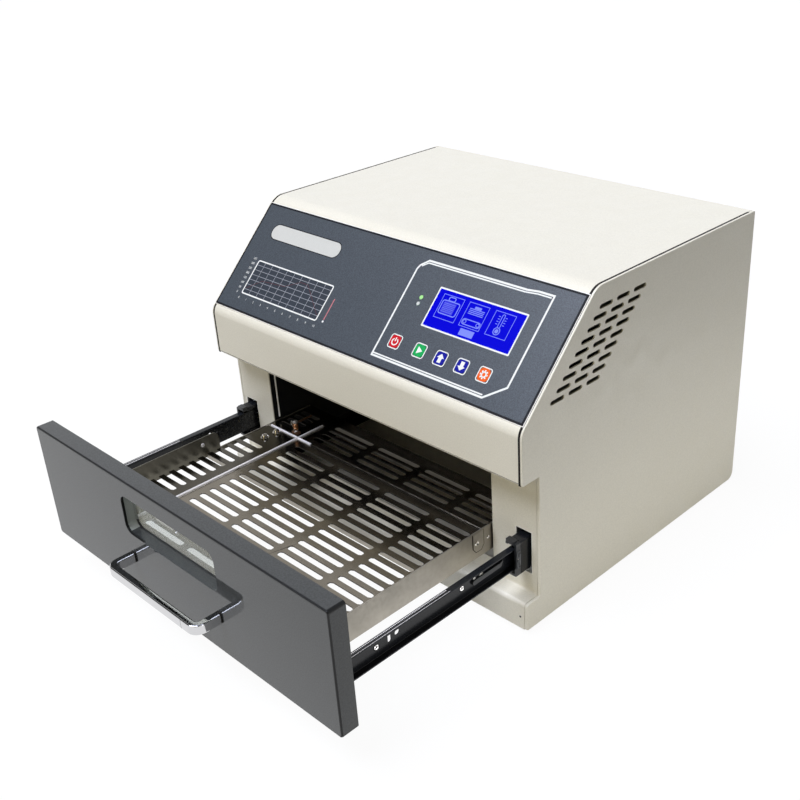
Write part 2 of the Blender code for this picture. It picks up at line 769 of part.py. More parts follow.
def chamber(black, wool, quartz, ceramic, bright, parent):
    half = chamber_half() + SHEET
    start = SHEET + TOUCH
    path = [
        (-half, OPENING_BOTTOM, 0),
        (-half, LINER_TOP, SMALL_BEND),
        (half, LINER_TOP, SMALL_BEND),
        (half, OPENING_BOTTOM, 0),
    ]
    liner = prism("chamber_liner", sheet_outline(path, SHEET), "Y", start, LINER_DEPTH,
                  black, parent)
    back = bmesh.new()
    add_box(back, (-half + SHEET / 2, LINER_DEPTH - SHEET, OPENING_BOTTOM),
            (half - SHEET / 2, LINER_DEPTH, LINER_TOP - SHEET / 2))
    join(liner, back)

    outside = half + TOUCH + BLANKET
    blanket = box("insulation_blanket", (-outside, start, 1.4 * OPENING_BOTTOM),
                  (outside, LINER_DEPTH + BLANKET, LINER_TOP + TOUCH + BLANKET), wool, parent)
    room = bmesh.new()
    add_box(room, (-half - TOUCH, start - BLANKET, 0),
            (half + TOUCH, LINER_DEPTH + TOUCH, LINER_TOP + TOUCH))
    cut(blanket, room)

    tube_z = LINER_TOP - TUBE_DROP
    pitch = LINER_DEPTH / TUBES
    tube_half = chamber_half() - TUBE_END
    ys = [pitch * (i + 0.5) for i in range(TUBES)]
    for i, y in enumerate(ys):
        bm = bmesh.new()
        add_rod(bm, (-tube_half, y, tube_z), (tube_half, y, tube_z), TUBE_RADIUS, 12)
        make(f"heater_tube_{i + 1}", bm, quartz, parent, True)
    for word, side in SIDES:
        near = side * (chamber_half() - 2.5 * TUBE_END)
        far = side * (chamber_half() - 2 * TUBE_END)
        low, high = tube_z - 2 * TUBE_RADIUS, LINER_TOP - SHEET - TOUCH
        outline = rectangle(ys[0] - 3 * TUBE_RADIUS, ys[-1] + 3 * TUBE_RADIUS, low, high)
        plate = prism("heater_bracket_" + word, outline, "X", near, far, ceramic, parent)
        holes = bmesh.new()
        for y in ys:
            add_prism(holes, circle(y, tube_z, TUBE_RADIUS + TOUCH, 12), "X",
                      near - side * SHEET, far + side * SHEET)
        cut(plate, holes)

    reflector(ys, pitch, bright, parent)


def reflector(ys, pitch, bright, parent):
    """A sheet folded into one shallow roof over each heater tube."""
    crest = LINER_TOP - SHEET - TOUCH
    low = crest - REFLECTOR_DEPTH
    path = [(ys[0] - pitch * 0.42, low, 0)]
    for i, y in enumerate(ys):
        path += [(y - pitch * 0.18, crest, SMALL_BEND), (y + pitch * 0.18, crest, SMALL_BEND)]
        if i < len(ys) - 1:
            path.append((y + pitch * 0.5, low, SMALL_BEND))
    path.append((ys[-1] + pitch * 0.42, low, 0))
    half = chamber_half() - 3 * TUBE_END
    return prism("reflector", sheet_outline(path, SHEET / 2), "X", -half, half, bright, parent)


# Drawer

def drawer_front(steel, parent):
    """A folded panel, open at the back, with a deep-framed window."""
    bm = bmesh.new()
    outline = rectangle(-HALF, HALF, FRONT_BOTTOM, FRONT_TOP, 2 * FRONT_EDGE)
    add_prism(bm, outline, "Y", 0, FRONT_DEPTH)
    face = [e for e in bm.edges if all(abs(v.co.y) < 1e-6 for v in e.verts)]
    bmesh.ops.bevel(bm, geom=face, offset=FRONT_EDGE, segments=2, profile=0.5, affect="EDGES")
    front = make("drawer_front", bm, steel, parent)
    hollow = bmesh.new()
    inside = HALF - FRONT_SHEET
    outline = rectangle(-inside, inside, FRONT_BOTTOM + FRONT_SHEET, FRONT_TOP - FRONT_SHEET)
    add_prism(hollow, outline, "Y", FRONT_SHEET, FRONT_DEPTH * 1.5)
    cut(front, hollow)
    frame = bmesh.new()
    add_prism(frame, window_outline(FRONT_SHEET), "Y", FRONT_SHEET / 2, WINDOW_DEPTH)
    join(front, frame)
    hole = bmesh.new()
    add_prism(hole, window_outline(0), "Y", -FRONT_SHEET, WINDOW_DEPTH + FRONT_SHEET)
    cut(front, hole)
    return front


def window_outline(grow):
    half = WINDOW_WIDTH / 2 + grow
    return rectangle(-half, half, WINDOW_BOTTOM - grow, WINDOW_BOTTOM + WINDOW_HEIGHT + grow,
                     WINDOW_CORNER + grow)


def window(glass, rubber, parent):
    """The pane behind the window's frame, with its gasket between them."""
    start = WINDOW_DEPTH + TOUCH
    gasket = prism("window_gasket", window_outline(GLASS_LAP), "Y", start,
                   start + GASKET_THICK, rubber, parent)
    hole = bmesh.new()
    add_prism(hole, window_outline(TOUCH), "Y", start - GASKET_THICK, start + 2 * GASKET_THICK)
    cut(gasket, hole)
    start += GASKET_THICK + TOUCH
    prism("window_glass", window_outline(GLASS_LAP), "Y", start, start + GLASS_THICK,
          glass, parent)


def handle(chrome, parent):
    """A bow handle: two arms and a bar, round at the corners."""
    half = HANDLE_WIDTH / 2
    path = [
        (-half, -TOUCH, 0),
        (-half, -HANDLE_REACH, HANDLE_CORNER),
        (half, -HANDLE_REACH, HANDLE_CORNER),
        (half, -TOUCH, 0),
    ]
    outline = sheet_outline(path, HANDLE_BAR, -1)
    bow = prism("handle", outline, "Z", HANDLE_BOTTOM, HANDLE_BOTTOM + HANDLE_HEIGHT,
                chrome, parent, True)
    soften(bow, HANDLE_EDGE)
    return bow


def tray_frame(steel, parent):
    """The tray's side walls, rear wall and the bars that its slotted plates lie on."""
    start = FRONT_SHEET + TOUCH
    bar_top = GRATE_TOP - GRATE_THICK - TOUCH
    bar_low = bar_top - BAR_HEIGHT
    step = ROD_Y - LEFT_WALL_FROM_ROD
    left = rounded([
        (start, bar_low, 0),
        (TRAY_LENGTH, bar_low, 0),
        (TRAY_LENGTH, bar_top, 0),
        (step, bar_top, 0),
        (step, LEFT_WALL_TOP, 4 * SMALL_BEND),
        (start, LEFT_WALL_TOP, 0),
    ])
    frame = prism("tray_frame", left, "X", -TRAY_HALF, -TRAY_HALF + TRAY_WALL, steel, parent)
    right = bmesh.new()
    outline = rectangle(start, TRAY_LENGTH, TRAY_BOTTOM, RIGHT_WALL_TOP)
    add_prism(right, outline, "X", TRAY_HALF - TRAY_WALL, TRAY_HALF)
    join(frame, right)
    rear = bmesh.new()
    inside = TRAY_HALF - TRAY_WALL / 2
    add_box(rear, (-inside, TRAY_LENGTH - TRAY_WALL, TRAY_BOTTOM + TOUCH),
            (inside, TRAY_LENGTH - TOUCH, bar_top))
    for y in (*(row_y(row) + ROW_PITCH / 2 for row in BAR_ROWS), ROD_Y):
        add_box(rear, (-inside, y - BAR_WIDTH / 2, bar_low),
                (inside, y + BAR_WIDTH / 2, bar_top))
    join(frame, rear)
    return frame


def row_y(row):
    return FIRST_ROW + row * ROW_PITCH


def columns():
    """The ends of each column of slots. The last column stops short of the plate's edge."""
    edge = grate_right() - RIGHT_SLOT_MARGIN
    count = math.ceil((edge - 2 * SLOT_WIDTH - FIRST_COLUMN) / COLUMN_PITCH)
    starts = [FIRST_COLUMN + i * COLUMN_PITCH for i in range(count)]
    return [(start, min(start + COLUMN_LENGTH, edge)) for start in starts]


def grate_right():
    return TRAY_HALF - TRAY_WALL - TOUCH


def grate(name, x0, x1, y0, y1, slots, steel, parent):
    """A slotted plate. Each slot is (x start, x end, y)."""
    low = GRATE_TOP - GRATE_THICK
    plate = prism(name, rectangle(x0, x1, y0, y1), "Z", low, GRATE_TOP, steel, parent)
    bm = bmesh.new()
    for start, end, y in slots:
        add_prism(bm, oblong(start, end, y, SLOT_WIDTH), "Z", low - GRATE_THICK,
                  GRATE_TOP + GRATE_THICK)
    cut(plate, bm)
    return plate


def tray_plates(steel, parent):
    """The main plate, the narrow plate at its left and the rear plate, round the two rods."""
    front = FRONT_DEPTH
    seam = ROD_RADIUS + TOUCH
    right = grate_right()
    left = -TRAY_HALF + TRAY_WALL + SIDE_GAP
    main = [(*ends, row_y(r)) for r in range(MAIN_ROWS) for ends in columns()]
    grate("main_grate", ROD_X + seam, right, front, ROD_Y - seam, main, steel, parent)
    side = [(left - 2 * SLOT_WIDTH, SIDE_SLOT_END, row_y(r)) for r in range(SIDE_ROWS)]
    grate("side_grate", left, ROD_X - seam, front, ROD_Y - seam, side, steel, parent)
    rear = []
    first = ROD_Y + 2 * ROD_RADIUS + SLOT_WIDTH + ROW_PITCH / 4
    for r in range(REAR_ROWS):
        y = first + r * REAR_PITCH
        rear += [(*ends, y) for ends in columns()]
        rear.append((left + SIDE_GAP, SIDE_SLOT_END, y))
    plate = grate("rear_grate", left, right, ROD_Y + seam, TRAY_LENGTH - TRAY_WALL - TOUCH, rear,
                  steel, parent)
    slit = bmesh.new()
    add_box(slit, (ROD_X - seam, ROD_Y, 0), (ROD_X + seam, rod_end() + seam, FRONT_TOP))
    cut(plate, slit)


def rod_end():
    return ROD_Y + 3.5 * REAR_PITCH


def support_rods(bright, parent):
    """Two crossed rods between the slotted plates."""
    z = GRATE_TOP - GRATE_THICK + ROD_RADIUS
    bm = bmesh.new()
    start = FRONT_SHEET + TOUCH
    add_rod(bm, (ROD_X, start, z), (ROD_X, rod_end(), z), ROD_RADIUS, 8)
    rods = make("support_rods", bm, bright, parent, True)
    across = bmesh.new()
    left = -TRAY_HALF + TRAY_WALL + 2 * SIDE_GAP
    right = grate_right() - TOUCH
    add_rod(across, (left, ROD_Y, z), (right, ROD_Y, z), ROD_RADIUS, 8)
    join(rods, across)
    return rods


def thermocouple(brass, parent):
    """The temperature probe: a clamp block, its post and a round tip over the tray."""
    half = CLAMP_SIZE / 2
    x = ROD_X - ROD_RADIUS - half - SIDE_GAP
    y = ROD_Y + ROD_RADIUS + half
    z = GRATE_TOP + TOUCH
    bm = bmesh.new()
    add_box(bm, (x - half, y - half * 0.75, z), (x + half, y + half * 0.75, z + CLAMP_HEIGHT))
    probe = make("thermocouple", bm, brass, parent)
    post = bmesh.new()
    middle = z + CLAMP_HEIGHT / 2
    add_rod(post, (x, y, middle), (x, y, z + PROBE_HEIGHT), 1.3 * PROBE_RADIUS, 8)
    join(probe, post)
    tip = bmesh.new()
    level = z + PROBE_HEIGHT - 1.3 * PROBE_RADIUS
    add_rod(tip, (x, y, level), (x, y + PROBE_REACH, level), PROBE_RADIUS, 8)
    join(probe, tip)
    return probe


# Control panel

def panel_cutouts(grow, start, end):
    """Openings for the display, the keys and the lamps through the slope."""
    bm = bmesh.new()
    low = OVERLAY_START
    outline = rectangle(DISPLAY_LEFT - grow, DISPLAY_LEFT + DISPLAY_WIDTH + grow,
                        low + DISPLAY_BOTTOM - grow, low + DISPLAY_BOTTOM + DISPLAY_HEIGHT + grow)
    add_prism(bm, outline, "Z", start, end)
    reach = KEY_SIZE / 2 + grow
    for x in KEY_XS.values():
        v = low + KEY_V
        outline = rectangle(x - reach, x + reach, v - reach, v + reach, 2 * SMALL_BEND)
        add_prism(bm, outline, "Z", start, end)
    for v in LAMP_VS:
        add_prism(bm, circle(LAMP_X, low + v, LAMP_RADIUS + grow, 10), "Z", start, end)
    return bm


def control_panel(cover, overlay, glass, board, colours, panel, keys):
    combine(cover, helper("slope_cutouts", panel_cutouts(KEY_GAP, -NOSE_BEND / 2, NOSE_BEND / 2),
                          panel), "DIFFERENCE")
    low = OVERLAY_START
    half = OVERLAY_WIDTH / 2
    sheet = prism("control_overlay", rectangle(-half, half, low, low + OVERLAY_LENGTH, SMALL_BEND),
                  "Z", TOUCH, TOUCH + OVERLAY_THICK, overlay, panel)
    cut(sheet, panel_cutouts(KEY_GAP, -OVERLAY_THICK, 3 * OVERLAY_THICK))
    surface = TOUCH + OVERLAY_THICK
    display_top = -SHEET - TOUCH
    window_low = low + DISPLAY_BOTTOM
    outline = rectangle(DISPLAY_LEFT, DISPLAY_LEFT + DISPLAY_WIDTH, window_low,
                        window_low + DISPLAY_HEIGHT)
    prism("display_window", outline, "Z", display_top + TOUCH, surface, glass, panel)
    control_board(display_top, board, panel)
    for name, x in KEY_XS.items():
        key(name, colours[name], keys[name])


def key(name, colour, parent):
    """A key cap with its stem, with its origin in the middle of its face."""
    half = KEY_SIZE / 2
    cap = prism("key_" + name, rectangle(-half, half, -half, half, 2 * SMALL_BEND), "Z",
                -KEY_THICK, 0, colour, parent)
    stem = bmesh.new()
    reach = SWITCH_SIZE / 2.6
    add_box(stem, (-reach, -reach, stem_end()), (reach, reach, -KEY_THICK / 2))
    join(cap, stem)
    return cap


def key_surface():
    return TOUCH + OVERLAY_THICK + KEY_PROUD


def stem_end():
    """How far a key's stem reaches, from its face, to stop above its switch."""
    switch_top = -BOARD_DROP + SWITCH_HEIGHT
    return switch_top + KEY_TRAVEL + TOUCH - key_surface()


def control_board(display_top, green, panel):
    """The circuit board under the slope, with its posts, key switches, lamps and display."""
    low = OVERLAY_START
    x0 = min(LAMP_X, *KEY_XS.values()) - BOARD_MARGIN
    x1 = DISPLAY_LEFT + DISPLAY_WIDTH + BOARD_MARGIN
    v0 = low + KEY_V - BOARD_MARGIN
    v1 = low + DISPLAY_BOTTOM + DISPLAY_HEIGHT + BOARD_MARGIN / 2
    top = -BOARD_DROP
    middle = top - BOARD_THICK / 2
    bm = bmesh.new()
    add_box(bm, (x0, v0, top - BOARD_THICK), (x1, v1, top))
    board = make("control_board", bm, green, panel)
    parts = bmesh.new()
    inset = 1.25 * POST_RADIUS
    for x in (x0 + inset, x1 - inset):
        for v in (v0 + inset, v1 - inset):
            add_rod(parts, (x, v, middle), (x, v, -SHEET - TOUCH), POST_RADIUS, 8)
    reach = SWITCH_SIZE / 2
    for x in KEY_XS.values():
        v = low + KEY_V
        add_box(parts, (x - reach, v - reach, middle), (x + reach, v + reach, top + SWITCH_HEIGHT))
    for v in LAMP_VS:
        add_rod(parts, (LAMP_X, low + v, middle), (LAMP_X, low + v, TOUCH + OVERLAY_THICK),
                LAMP_RADIUS, 10)
    add_box(parts, (DISPLAY_LEFT - BEZEL, low + DISPLAY_BOTTOM - BEZEL, middle),
            (DISPLAY_LEFT + DISPLAY_WIDTH + BEZEL, low + DISPLAY_BOTTOM + DISPLAY_HEIGHT + BEZEL,
             display_top))
    join(board, parts)
    return board


# Rear fittings and electronics

def fan(black, steel, cabinet, spin):
    """The exhaust fan: a square frame with a hub on struts, a bladed rotor and a wire guard."""
    half = FAN_SIZE / 2
    rear = REAR_FACE - TOUCH
    front = rear - FAN_DEPTH
    outline = rectangle(FAN_X - half, FAN_X + half, FAN_Z - half, FAN_Z + half, 2 * SMALL_BEND)
    frame = prism("fan_frame", outline, "Y", front, rear, black, cabinet)
    bore = bmesh.new()
    add_prism(bore, circle(FAN_X, FAN_Z, FAN_BORE, 24), "Y", front - WIRE, rear + WIRE)
    cut(frame, bore)
    strut = 0.003
    struts = bmesh.new()
    add_prism(struts, circle(FAN_X, FAN_Z, HUB_RADIUS, 16), "Y", front, front + strut)
    hub = make("fan_hub", struts, None, cabinet)
    hub.hide_render = True
    hub.display_type = "WIRE"
    cross = bmesh.new()
    reach = FAN_BORE + WIRE
    add_box(cross, (FAN_X - reach, front + TOUCH, FAN_Z - strut / 2),
            (FAN_X + reach, front + strut - TOUCH, FAN_Z + strut / 2))
    combine(hub, helper("fan_strut_across", cross, cabinet), "UNION")
    upright = bmesh.new()
    add_box(upright, (FAN_X - strut / 2, front + 2 * TOUCH, FAN_Z - reach),
            (FAN_X + strut / 2, front + strut - 2 * TOUCH, FAN_Z + reach))
    combine(hub, helper("fan_strut_upright", upright, cabinet), "UNION")
    combine(frame, hub, "UNION")

    rotor_front = strut + TOUCH
    rotor_rear = FAN_DEPTH - WIRE
    bm = bmesh.new()
    add_rod(bm, (0, rotor_front, 0), (0, rotor_rear, 0), HUB_RADIUS, 16)
    rotor = make("fan_rotor", bm, black, spin, True)
    blades = bmesh.new()
    tip = FAN_BORE - WIRE / 2
    for i in range(BLADES):
        add_blade(blades, 2 * math.pi * i / BLADES, HUB_RADIUS * 0.9, tip, rotor_front + WIRE,
                  rotor_rear - WIRE)
    join(rotor, blades)

    guard = bmesh.new()
    y = PANEL_REAR + TOUCH + 1.5 * WIRE
    add_ring(guard, (FAN_X, y, FAN_Z), GUARD_RADIUS, WIRE, 20)
    wires = make("fan_guard", guard, steel, cabinet)
    rings = bmesh.new()
    for i in range(1, GUARD_RINGS):
        add_ring(rings, (FAN_X, y, FAN_Z), GUARD_RADIUS - i * GUARD_PITCH, WIRE, 14)
    reach = half - 2 * SMALL_BEND
    for turn in (1, -1):
        spoke = [
            (FAN_X - reach, FAN_Z - turn * reach - WIRE / 2),
            (FAN_X - reach, FAN_Z - turn * reach + WIRE / 2),
            (FAN_X + reach, FAN_Z + turn * reach + WIRE / 2),
            (FAN_X + reach, FAN_Z + turn * reach - WIRE / 2),
        ]
        start = PANEL_REAR + TOUCH
        bars = bmesh.new()
        add_prism(bars, spoke, "Y", start + (turn - 1) * TOUCH / -4, start + 1.4 * WIRE)
        join(wires, bars)
    join(wires, rings)


def add_blade(bm, angle, inner, outer, front, rear):
    """One fan blade, steeper at its root than at its tip."""
    corners = []
    thick = WIRE * 0.6
    for reach, sweep in ((inner, 0.34), (outer, 0.30)):
        for y, side in ((front, -1), (rear, 1)):
            for offset in (-thick / 2, thick / 2):
                t = angle + side * sweep + offset / reach
                corners.append(bm.verts.new((reach * math.cos(t), y, reach * math.sin(t))))
    quads = ((0, 1, 3, 2), (4, 5, 7, 6), (0, 1, 5, 4), (2, 3, 7, 6), (0, 2, 6, 4), (1, 3, 7, 5))
    faces = [bm.faces.new([corners[i] for i in quad]) for quad in quads]
    bmesh.ops.recalc_face_normals(bm, faces=faces)


def inlet_body():
    return INLET_WIDTH - 4 * FITTING_FLANGE, INLET_HEIGHT - 2 * FITTING_FLANGE


def rocker_body():
    return ROCKER_WIDTH + 3 * FITTING_FLANGE, ROCKER_HEIGHT + 4 * FITTING_FLANGE


def power_inlet(plastic, parent):
    """A mains inlet socket with three pins and a fuse drawer beside it."""
    outside = PANEL_REAR + TOUCH
    half_x, half_z = INLET_WIDTH / 2, INLET_HEIGHT / 2
    outline = rectangle(INLET_X - half_x, INLET_X + half_x, REAR_Z - half_z, REAR_Z + half_z,
                        2 * SMALL_BEND)
    inlet = prism("power_inlet", outline, "Y", outside, outside + FITTING_FLANGE, plastic, parent)
    body = bmesh.new()
    wide, high = inlet_body()
    add_box(body, (INLET_X - wide / 2, outside - INLET_DEPTH, REAR_Z - high / 2),
            (INLET_X + wide / 2, outside + FITTING_FLANGE / 2, REAR_Z + high / 2))
    join(inlet, body)
    recess = bmesh.new()
    centre = INLET_X + wide / 2 - SOCKET_INSET
    half, rise = SOCKET_HALF, SOCKET_HEIGHT / 2
    shoulder = rise - SOCKET_CHAMFER
    outline = rounded([
        (centre - half, REAR_Z - rise, SHEET), (centre + half, REAR_Z - rise, SHEET),
        (centre + half, REAR_Z + shoulder, 0), (centre + half - SOCKET_CHAMFER, REAR_Z + rise, 0),
        (centre - half + SOCKET_CHAMFER, REAR_Z + rise, 0), (centre - half, REAR_Z + shoulder, 0),
    ])
    add_prism(recess, outline, "Y", outside - INLET_DEPTH * 0.7, outside + 2 * FITTING_FLANGE)
    cut(inlet, recess)
    pins = bmesh.new()
    for x, z in ((-PIN_SPACING, -PIN_RISE), (PIN_SPACING, -PIN_RISE), (0, PIN_RISE)):
        add_box(pins, (centre + x - PIN_THICK / 2, outside - INLET_DEPTH * 0.8,
                       REAR_Z + z - PIN_HEIGHT / 2),
                (centre + x + PIN_THICK / 2, outside - PIN_THICK, REAR_Z + z + PIN_HEIGHT / 2))
    join(inlet, pins)
    fuse = bmesh.new()
    left = INLET_X - wide / 2 + PIN_THICK
    add_box(fuse, (left, outside, REAR_Z - high / 3),
            (left + FUSE_WIDTH, outside + FITTING_FLANGE + 3 * TOUCH, REAR_Z + high / 3))
    join(inlet, fuse)
    return inlet


def rocker_switch(plastic, cabinet, tilt):
    """The mains switch: a housing through the rear panel and a rocker on its pivot."""
    outside = PANEL_REAR + TOUCH
    wide, high = rocker_body()
    margin = 2 * FITTING_FLANGE
    outline = rectangle(ROCKER_X - wide / 2 - margin / 2, ROCKER_X + wide / 2 + margin / 2,
                        REAR_Z - high / 2 - margin / 2, REAR_Z + high / 2 + margin / 2, SMALL_BEND)
    housing = prism("switch_housing", outline, "Y", outside, outside + FITTING_FLANGE,
                    plastic, cabinet)
    body = bmesh.new()
    add_box(body, (ROCKER_X - wide / 2, outside - INLET_DEPTH, REAR_Z - high / 2),
            (ROCKER_X + wide / 2, outside + FITTING_FLANGE / 2, REAR_Z + high / 2))
    join(housing, body)
    room = bmesh.new()
    side = ROCKER_WIDTH / 2 + TOUCH
    reach = ROCKER_HEIGHT / 2 + 1.3 * SHEET
    add_box(room, (ROCKER_X - side, outside - 0.7 * INLET_DEPTH, REAR_Z - reach),
            (ROCKER_X + side, outside + 2 * FITTING_FLANGE, REAR_Z + reach))
    cut(housing, room)
    bm = bmesh.new()
    half = ROCKER_HEIGHT / 2
    face = ROCKER_FACE
    outline = [(-face, -half * 0.6), (-face, half * 0.6), (0, half), (face, half),
               (face * 0.8, 0), (face, -half), (0, -half)]
    turned = []
    for y, z in outline:
        turned.append((y * math.cos(ROCKER_TILT) - z * math.sin(ROCKER_TILT),
                       y * math.sin(ROCKER_TILT) + z * math.cos(ROCKER_TILT)))
    add_prism(bm, turned, "X", -ROCKER_WIDTH / 2, ROCKER_WIDTH / 2)
    return make("switch_rocker", bm, plastic, tilt)


def electronics(steel, green, iron, black, parent):
    """A shelf over the chamber with the power board, transformer and solid-state relay."""
    half = HALF - SIDE_SHEET - TOUCH
    path = [
        (-half, SHELF_Z + FLANGE, 0), (-half, SHELF_Z, SMALL_BEND),
        (half, SHELF_Z, SMALL_BEND), (half, SHELF_Z + FLANGE, 0),
    ]
    end = REAR_FACE - TOUCH - FAN_DEPTH - SHEET
    prism("electronics_shelf", sheet_outline(path, SHEET, -1), "Y", SHELF_START, end, steel, parent)
    floor = SHELF_Z + SHEET + TOUCH
    y = PARTS_Y
    power_board(-half + BOARD_FROM_LEFT, half - BOARD_FROM_RIGHT, y, floor, green, parent)

    right = half - SHELF_MARGIN * 1.5
    left = right - CORE_WIDTH
    middle = y + COIL_DEPTH / 2
    core = box("transformer", (left, middle - CORE_DEPTH / 2, floor),
               (right, middle + CORE_DEPTH / 2, floor + CORE_HEIGHT), iron, parent)
    coil = bmesh.new()
    centre = (left + right) / 2
    outline = rectangle(centre - COIL_WIDTH / 2, centre + COIL_WIDTH / 2, y, y + COIL_DEPTH,
                        2 * SMALL_BEND)
    rise = (CORE_HEIGHT - COIL_HEIGHT) / 2
    add_prism(coil, outline, "Z", floor + rise, floor + rise + COIL_HEIGHT)
    join(core, coil)

    left = -half + SHELF_MARGIN
    relay = box("solid_state_relay", (left, y, floor),
                (left + RELAY_WIDTH, y + RELAY_DEPTH, floor + RELAY_PLATE), steel, parent)
    body = bmesh.new()
    add_box(body, (left + RELAY_INSET, y + 2 * RELAY_INSET, floor + RELAY_PLATE / 2),
            (left + RELAY_WIDTH - RELAY_INSET, y + RELAY_DEPTH - 2 * RELAY_INSET,
             floor + RELAY_HEIGHT))
    join(relay, body)


def power_board(left, right, y, floor, green, parent):
    """A circuit board on four standoffs, with two capacitors and a block of relays."""
    low = floor + STANDOFF
    width = right - left
    board = box("power_board", (left, y, low), (right, y + BOARD_DEPTH, low + BOARD_THICK),
                green, parent)
    parts = bmesh.new()
    inset = 1.6 * STANDOFF_RADIUS
    for px in (left + inset, right - inset):
        for py in (y + inset, y + BOARD_DEPTH - inset):
            add_rod(parts, (px, py, floor), (px, py, low + BOARD_THICK / 2), STANDOFF_RADIUS, 8)
    middle = y + BOARD_DEPTH / 2
    base = low + BOARD_THICK / 2
    radius = STANDOFF * 1.2
    for px in (left + 0.2 * width, left + 0.45 * width):
        add_rod(parts, (px, middle, base), (px, middle, base + 3 * radius), radius, 10)
    block = 2 * radius
    centre = left + 0.75 * width
    add_box(parts, (centre - block, middle - block, base), (centre + block, middle + block,
                                                            base + 2 * radius))
    join(board, parts)


def main():
    for obj in list(bpy.data.objects):
        bpy.data.objects.remove(obj, do_unlink=True)

    paint = finish("ivory_paint", (0.72, 0.69, 0.61), 0.45)
    slate = finish("slate_overlay", (0.10, 0.11, 0.13), 0.5)
    front_steel = finish("graphite_paint", (0.14, 0.15, 0.15), 0.25, 0.4)
    stainless = finish("stainless", (0.55, 0.51, 0.44), 0.3, 1.0)
    bright = finish("bright_steel", (0.8, 0.8, 0.78), 0.15, 1.0)
    chrome = finish("chrome", (0.85, 0.85, 0.86), 0.06, 1.0)
    slide_black = finish("black_slide", (0.02, 0.02, 0.022), 0.4, 0.5)
    plastic = finish("black_plastic", (0.02, 0.02, 0.02), 0.5)
    rubber = finish("rubber", (0.02, 0.02, 0.02), 0.8)
    glass = finish("clear_glass", (0.9, 0.95, 0.93), 0.02, 0.0, 1.0)
    display = finish("display_blue", (0.01, 0.01, 0.75), 0.1)
    zinc = finish("zinc_steel", (0.6, 0.6, 0.6), 0.4, 1.0)
    black = finish("black_enamel", (0.012, 0.012, 0.012), 0.6)
    wool = finish("ceramic_wool", (0.8, 0.78, 0.7), 0.95)
    quartz = finish("quartz", (0.85, 0.8, 0.75), 0.1, 0.0, 0.6)
    brass = finish("copper_brown", (0.35, 0.18, 0.08), 0.4, 0.8)
    green = finish("circuit_board", (0.02, 0.18, 0.06), 0.5)
    iron = finish("lamination", (0.12, 0.11, 0.1), 0.5, 0.6)
    colours = {
        "red": finish("key_red", (0.7, 0.03, 0.02), 0.4),
        "green": finish("key_green", (0.03, 0.45, 0.12), 0.4),
        "up": finish("key_blue_up", (0.02, 0.03, 0.3), 0.4),
        "down": finish("key_blue_down", (0.02, 0.03, 0.3), 0.4),
        "orange": finish("key_orange", (0.85, 0.2, 0.02), 0.4),
    }

    cabinet = empty("cabinet_frame", (0, -ORIGIN_Y, FOOT_HEIGHT))
    drawer = empty("drawer_slide", (0, -OPEN_FACE, 0), cabinet)
    cages = {word: empty("cage_slide_" + word, (0, 0, 0), cabinet) for word, _ in SIDES}
    panel = empty("slope_plane", (0, -NOSE_DEPTH, NOSE_TOP), cabinet, (SLOPE, 0, 0))
    keys = {}
    for name, x in KEY_XS.items():
        place = (x, OVERLAY_START + KEY_V, key_surface())
        keys[name] = empty("key_slide_" + name, place, panel)
    spin = empty("fan_spin", (FAN_X, REAR_FACE - TOUCH - FAN_DEPTH, FAN_Z), cabinet)
    tilt = empty("rocker_pivot", (ROCKER_X, PANEL_REAR - ROCKER_PIVOT, REAR_Z), cabinet)

    for word, side in SIDES:
        side_panel("side_panel_" + word, side, paint, cabinet)
    cover = top_cover(paint, cabinet)
    front_frame(paint, cabinet)
    rear_panel(paint, cabinet)
    base_pan(paint, cabinet)
    feet(rubber, cabinet)
    slides(slide_black, plastic, cabinet, drawer, cages)
    for word, side in SIDES:
        pivot = empty("lever_pivot_" + word,
                      (0, OPEN_FACE - SLIDE_FRONT - LEVER_LENGTH - 0.010, SLIDE_Z), drawer)
        lever("slide_lever_" + word, side, plastic, pivot)
    chamber(black, wool, quartz, zinc, bright, cabinet)
    drawer_front(front_steel, drawer)
    window(glass, rubber, drawer)
    handle(chrome, drawer)
    tray_frame(stainless, drawer)
    tray_plates(stainless, drawer)
    support_rods(bright, drawer)
    thermocouple(brass, drawer)
    control_panel(cover, slate, display, green, colours, panel, keys)
    fan(black, zinc, cabinet, spin)
    power_inlet(plastic, cabinet)
    rocker_switch(plastic, cabinet, tilt)
    electronics(zinc, green, iron, black, cabinet)


main()
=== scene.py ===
import json
import math

import bmesh
import bpy
from mathutils import Matrix, Vector

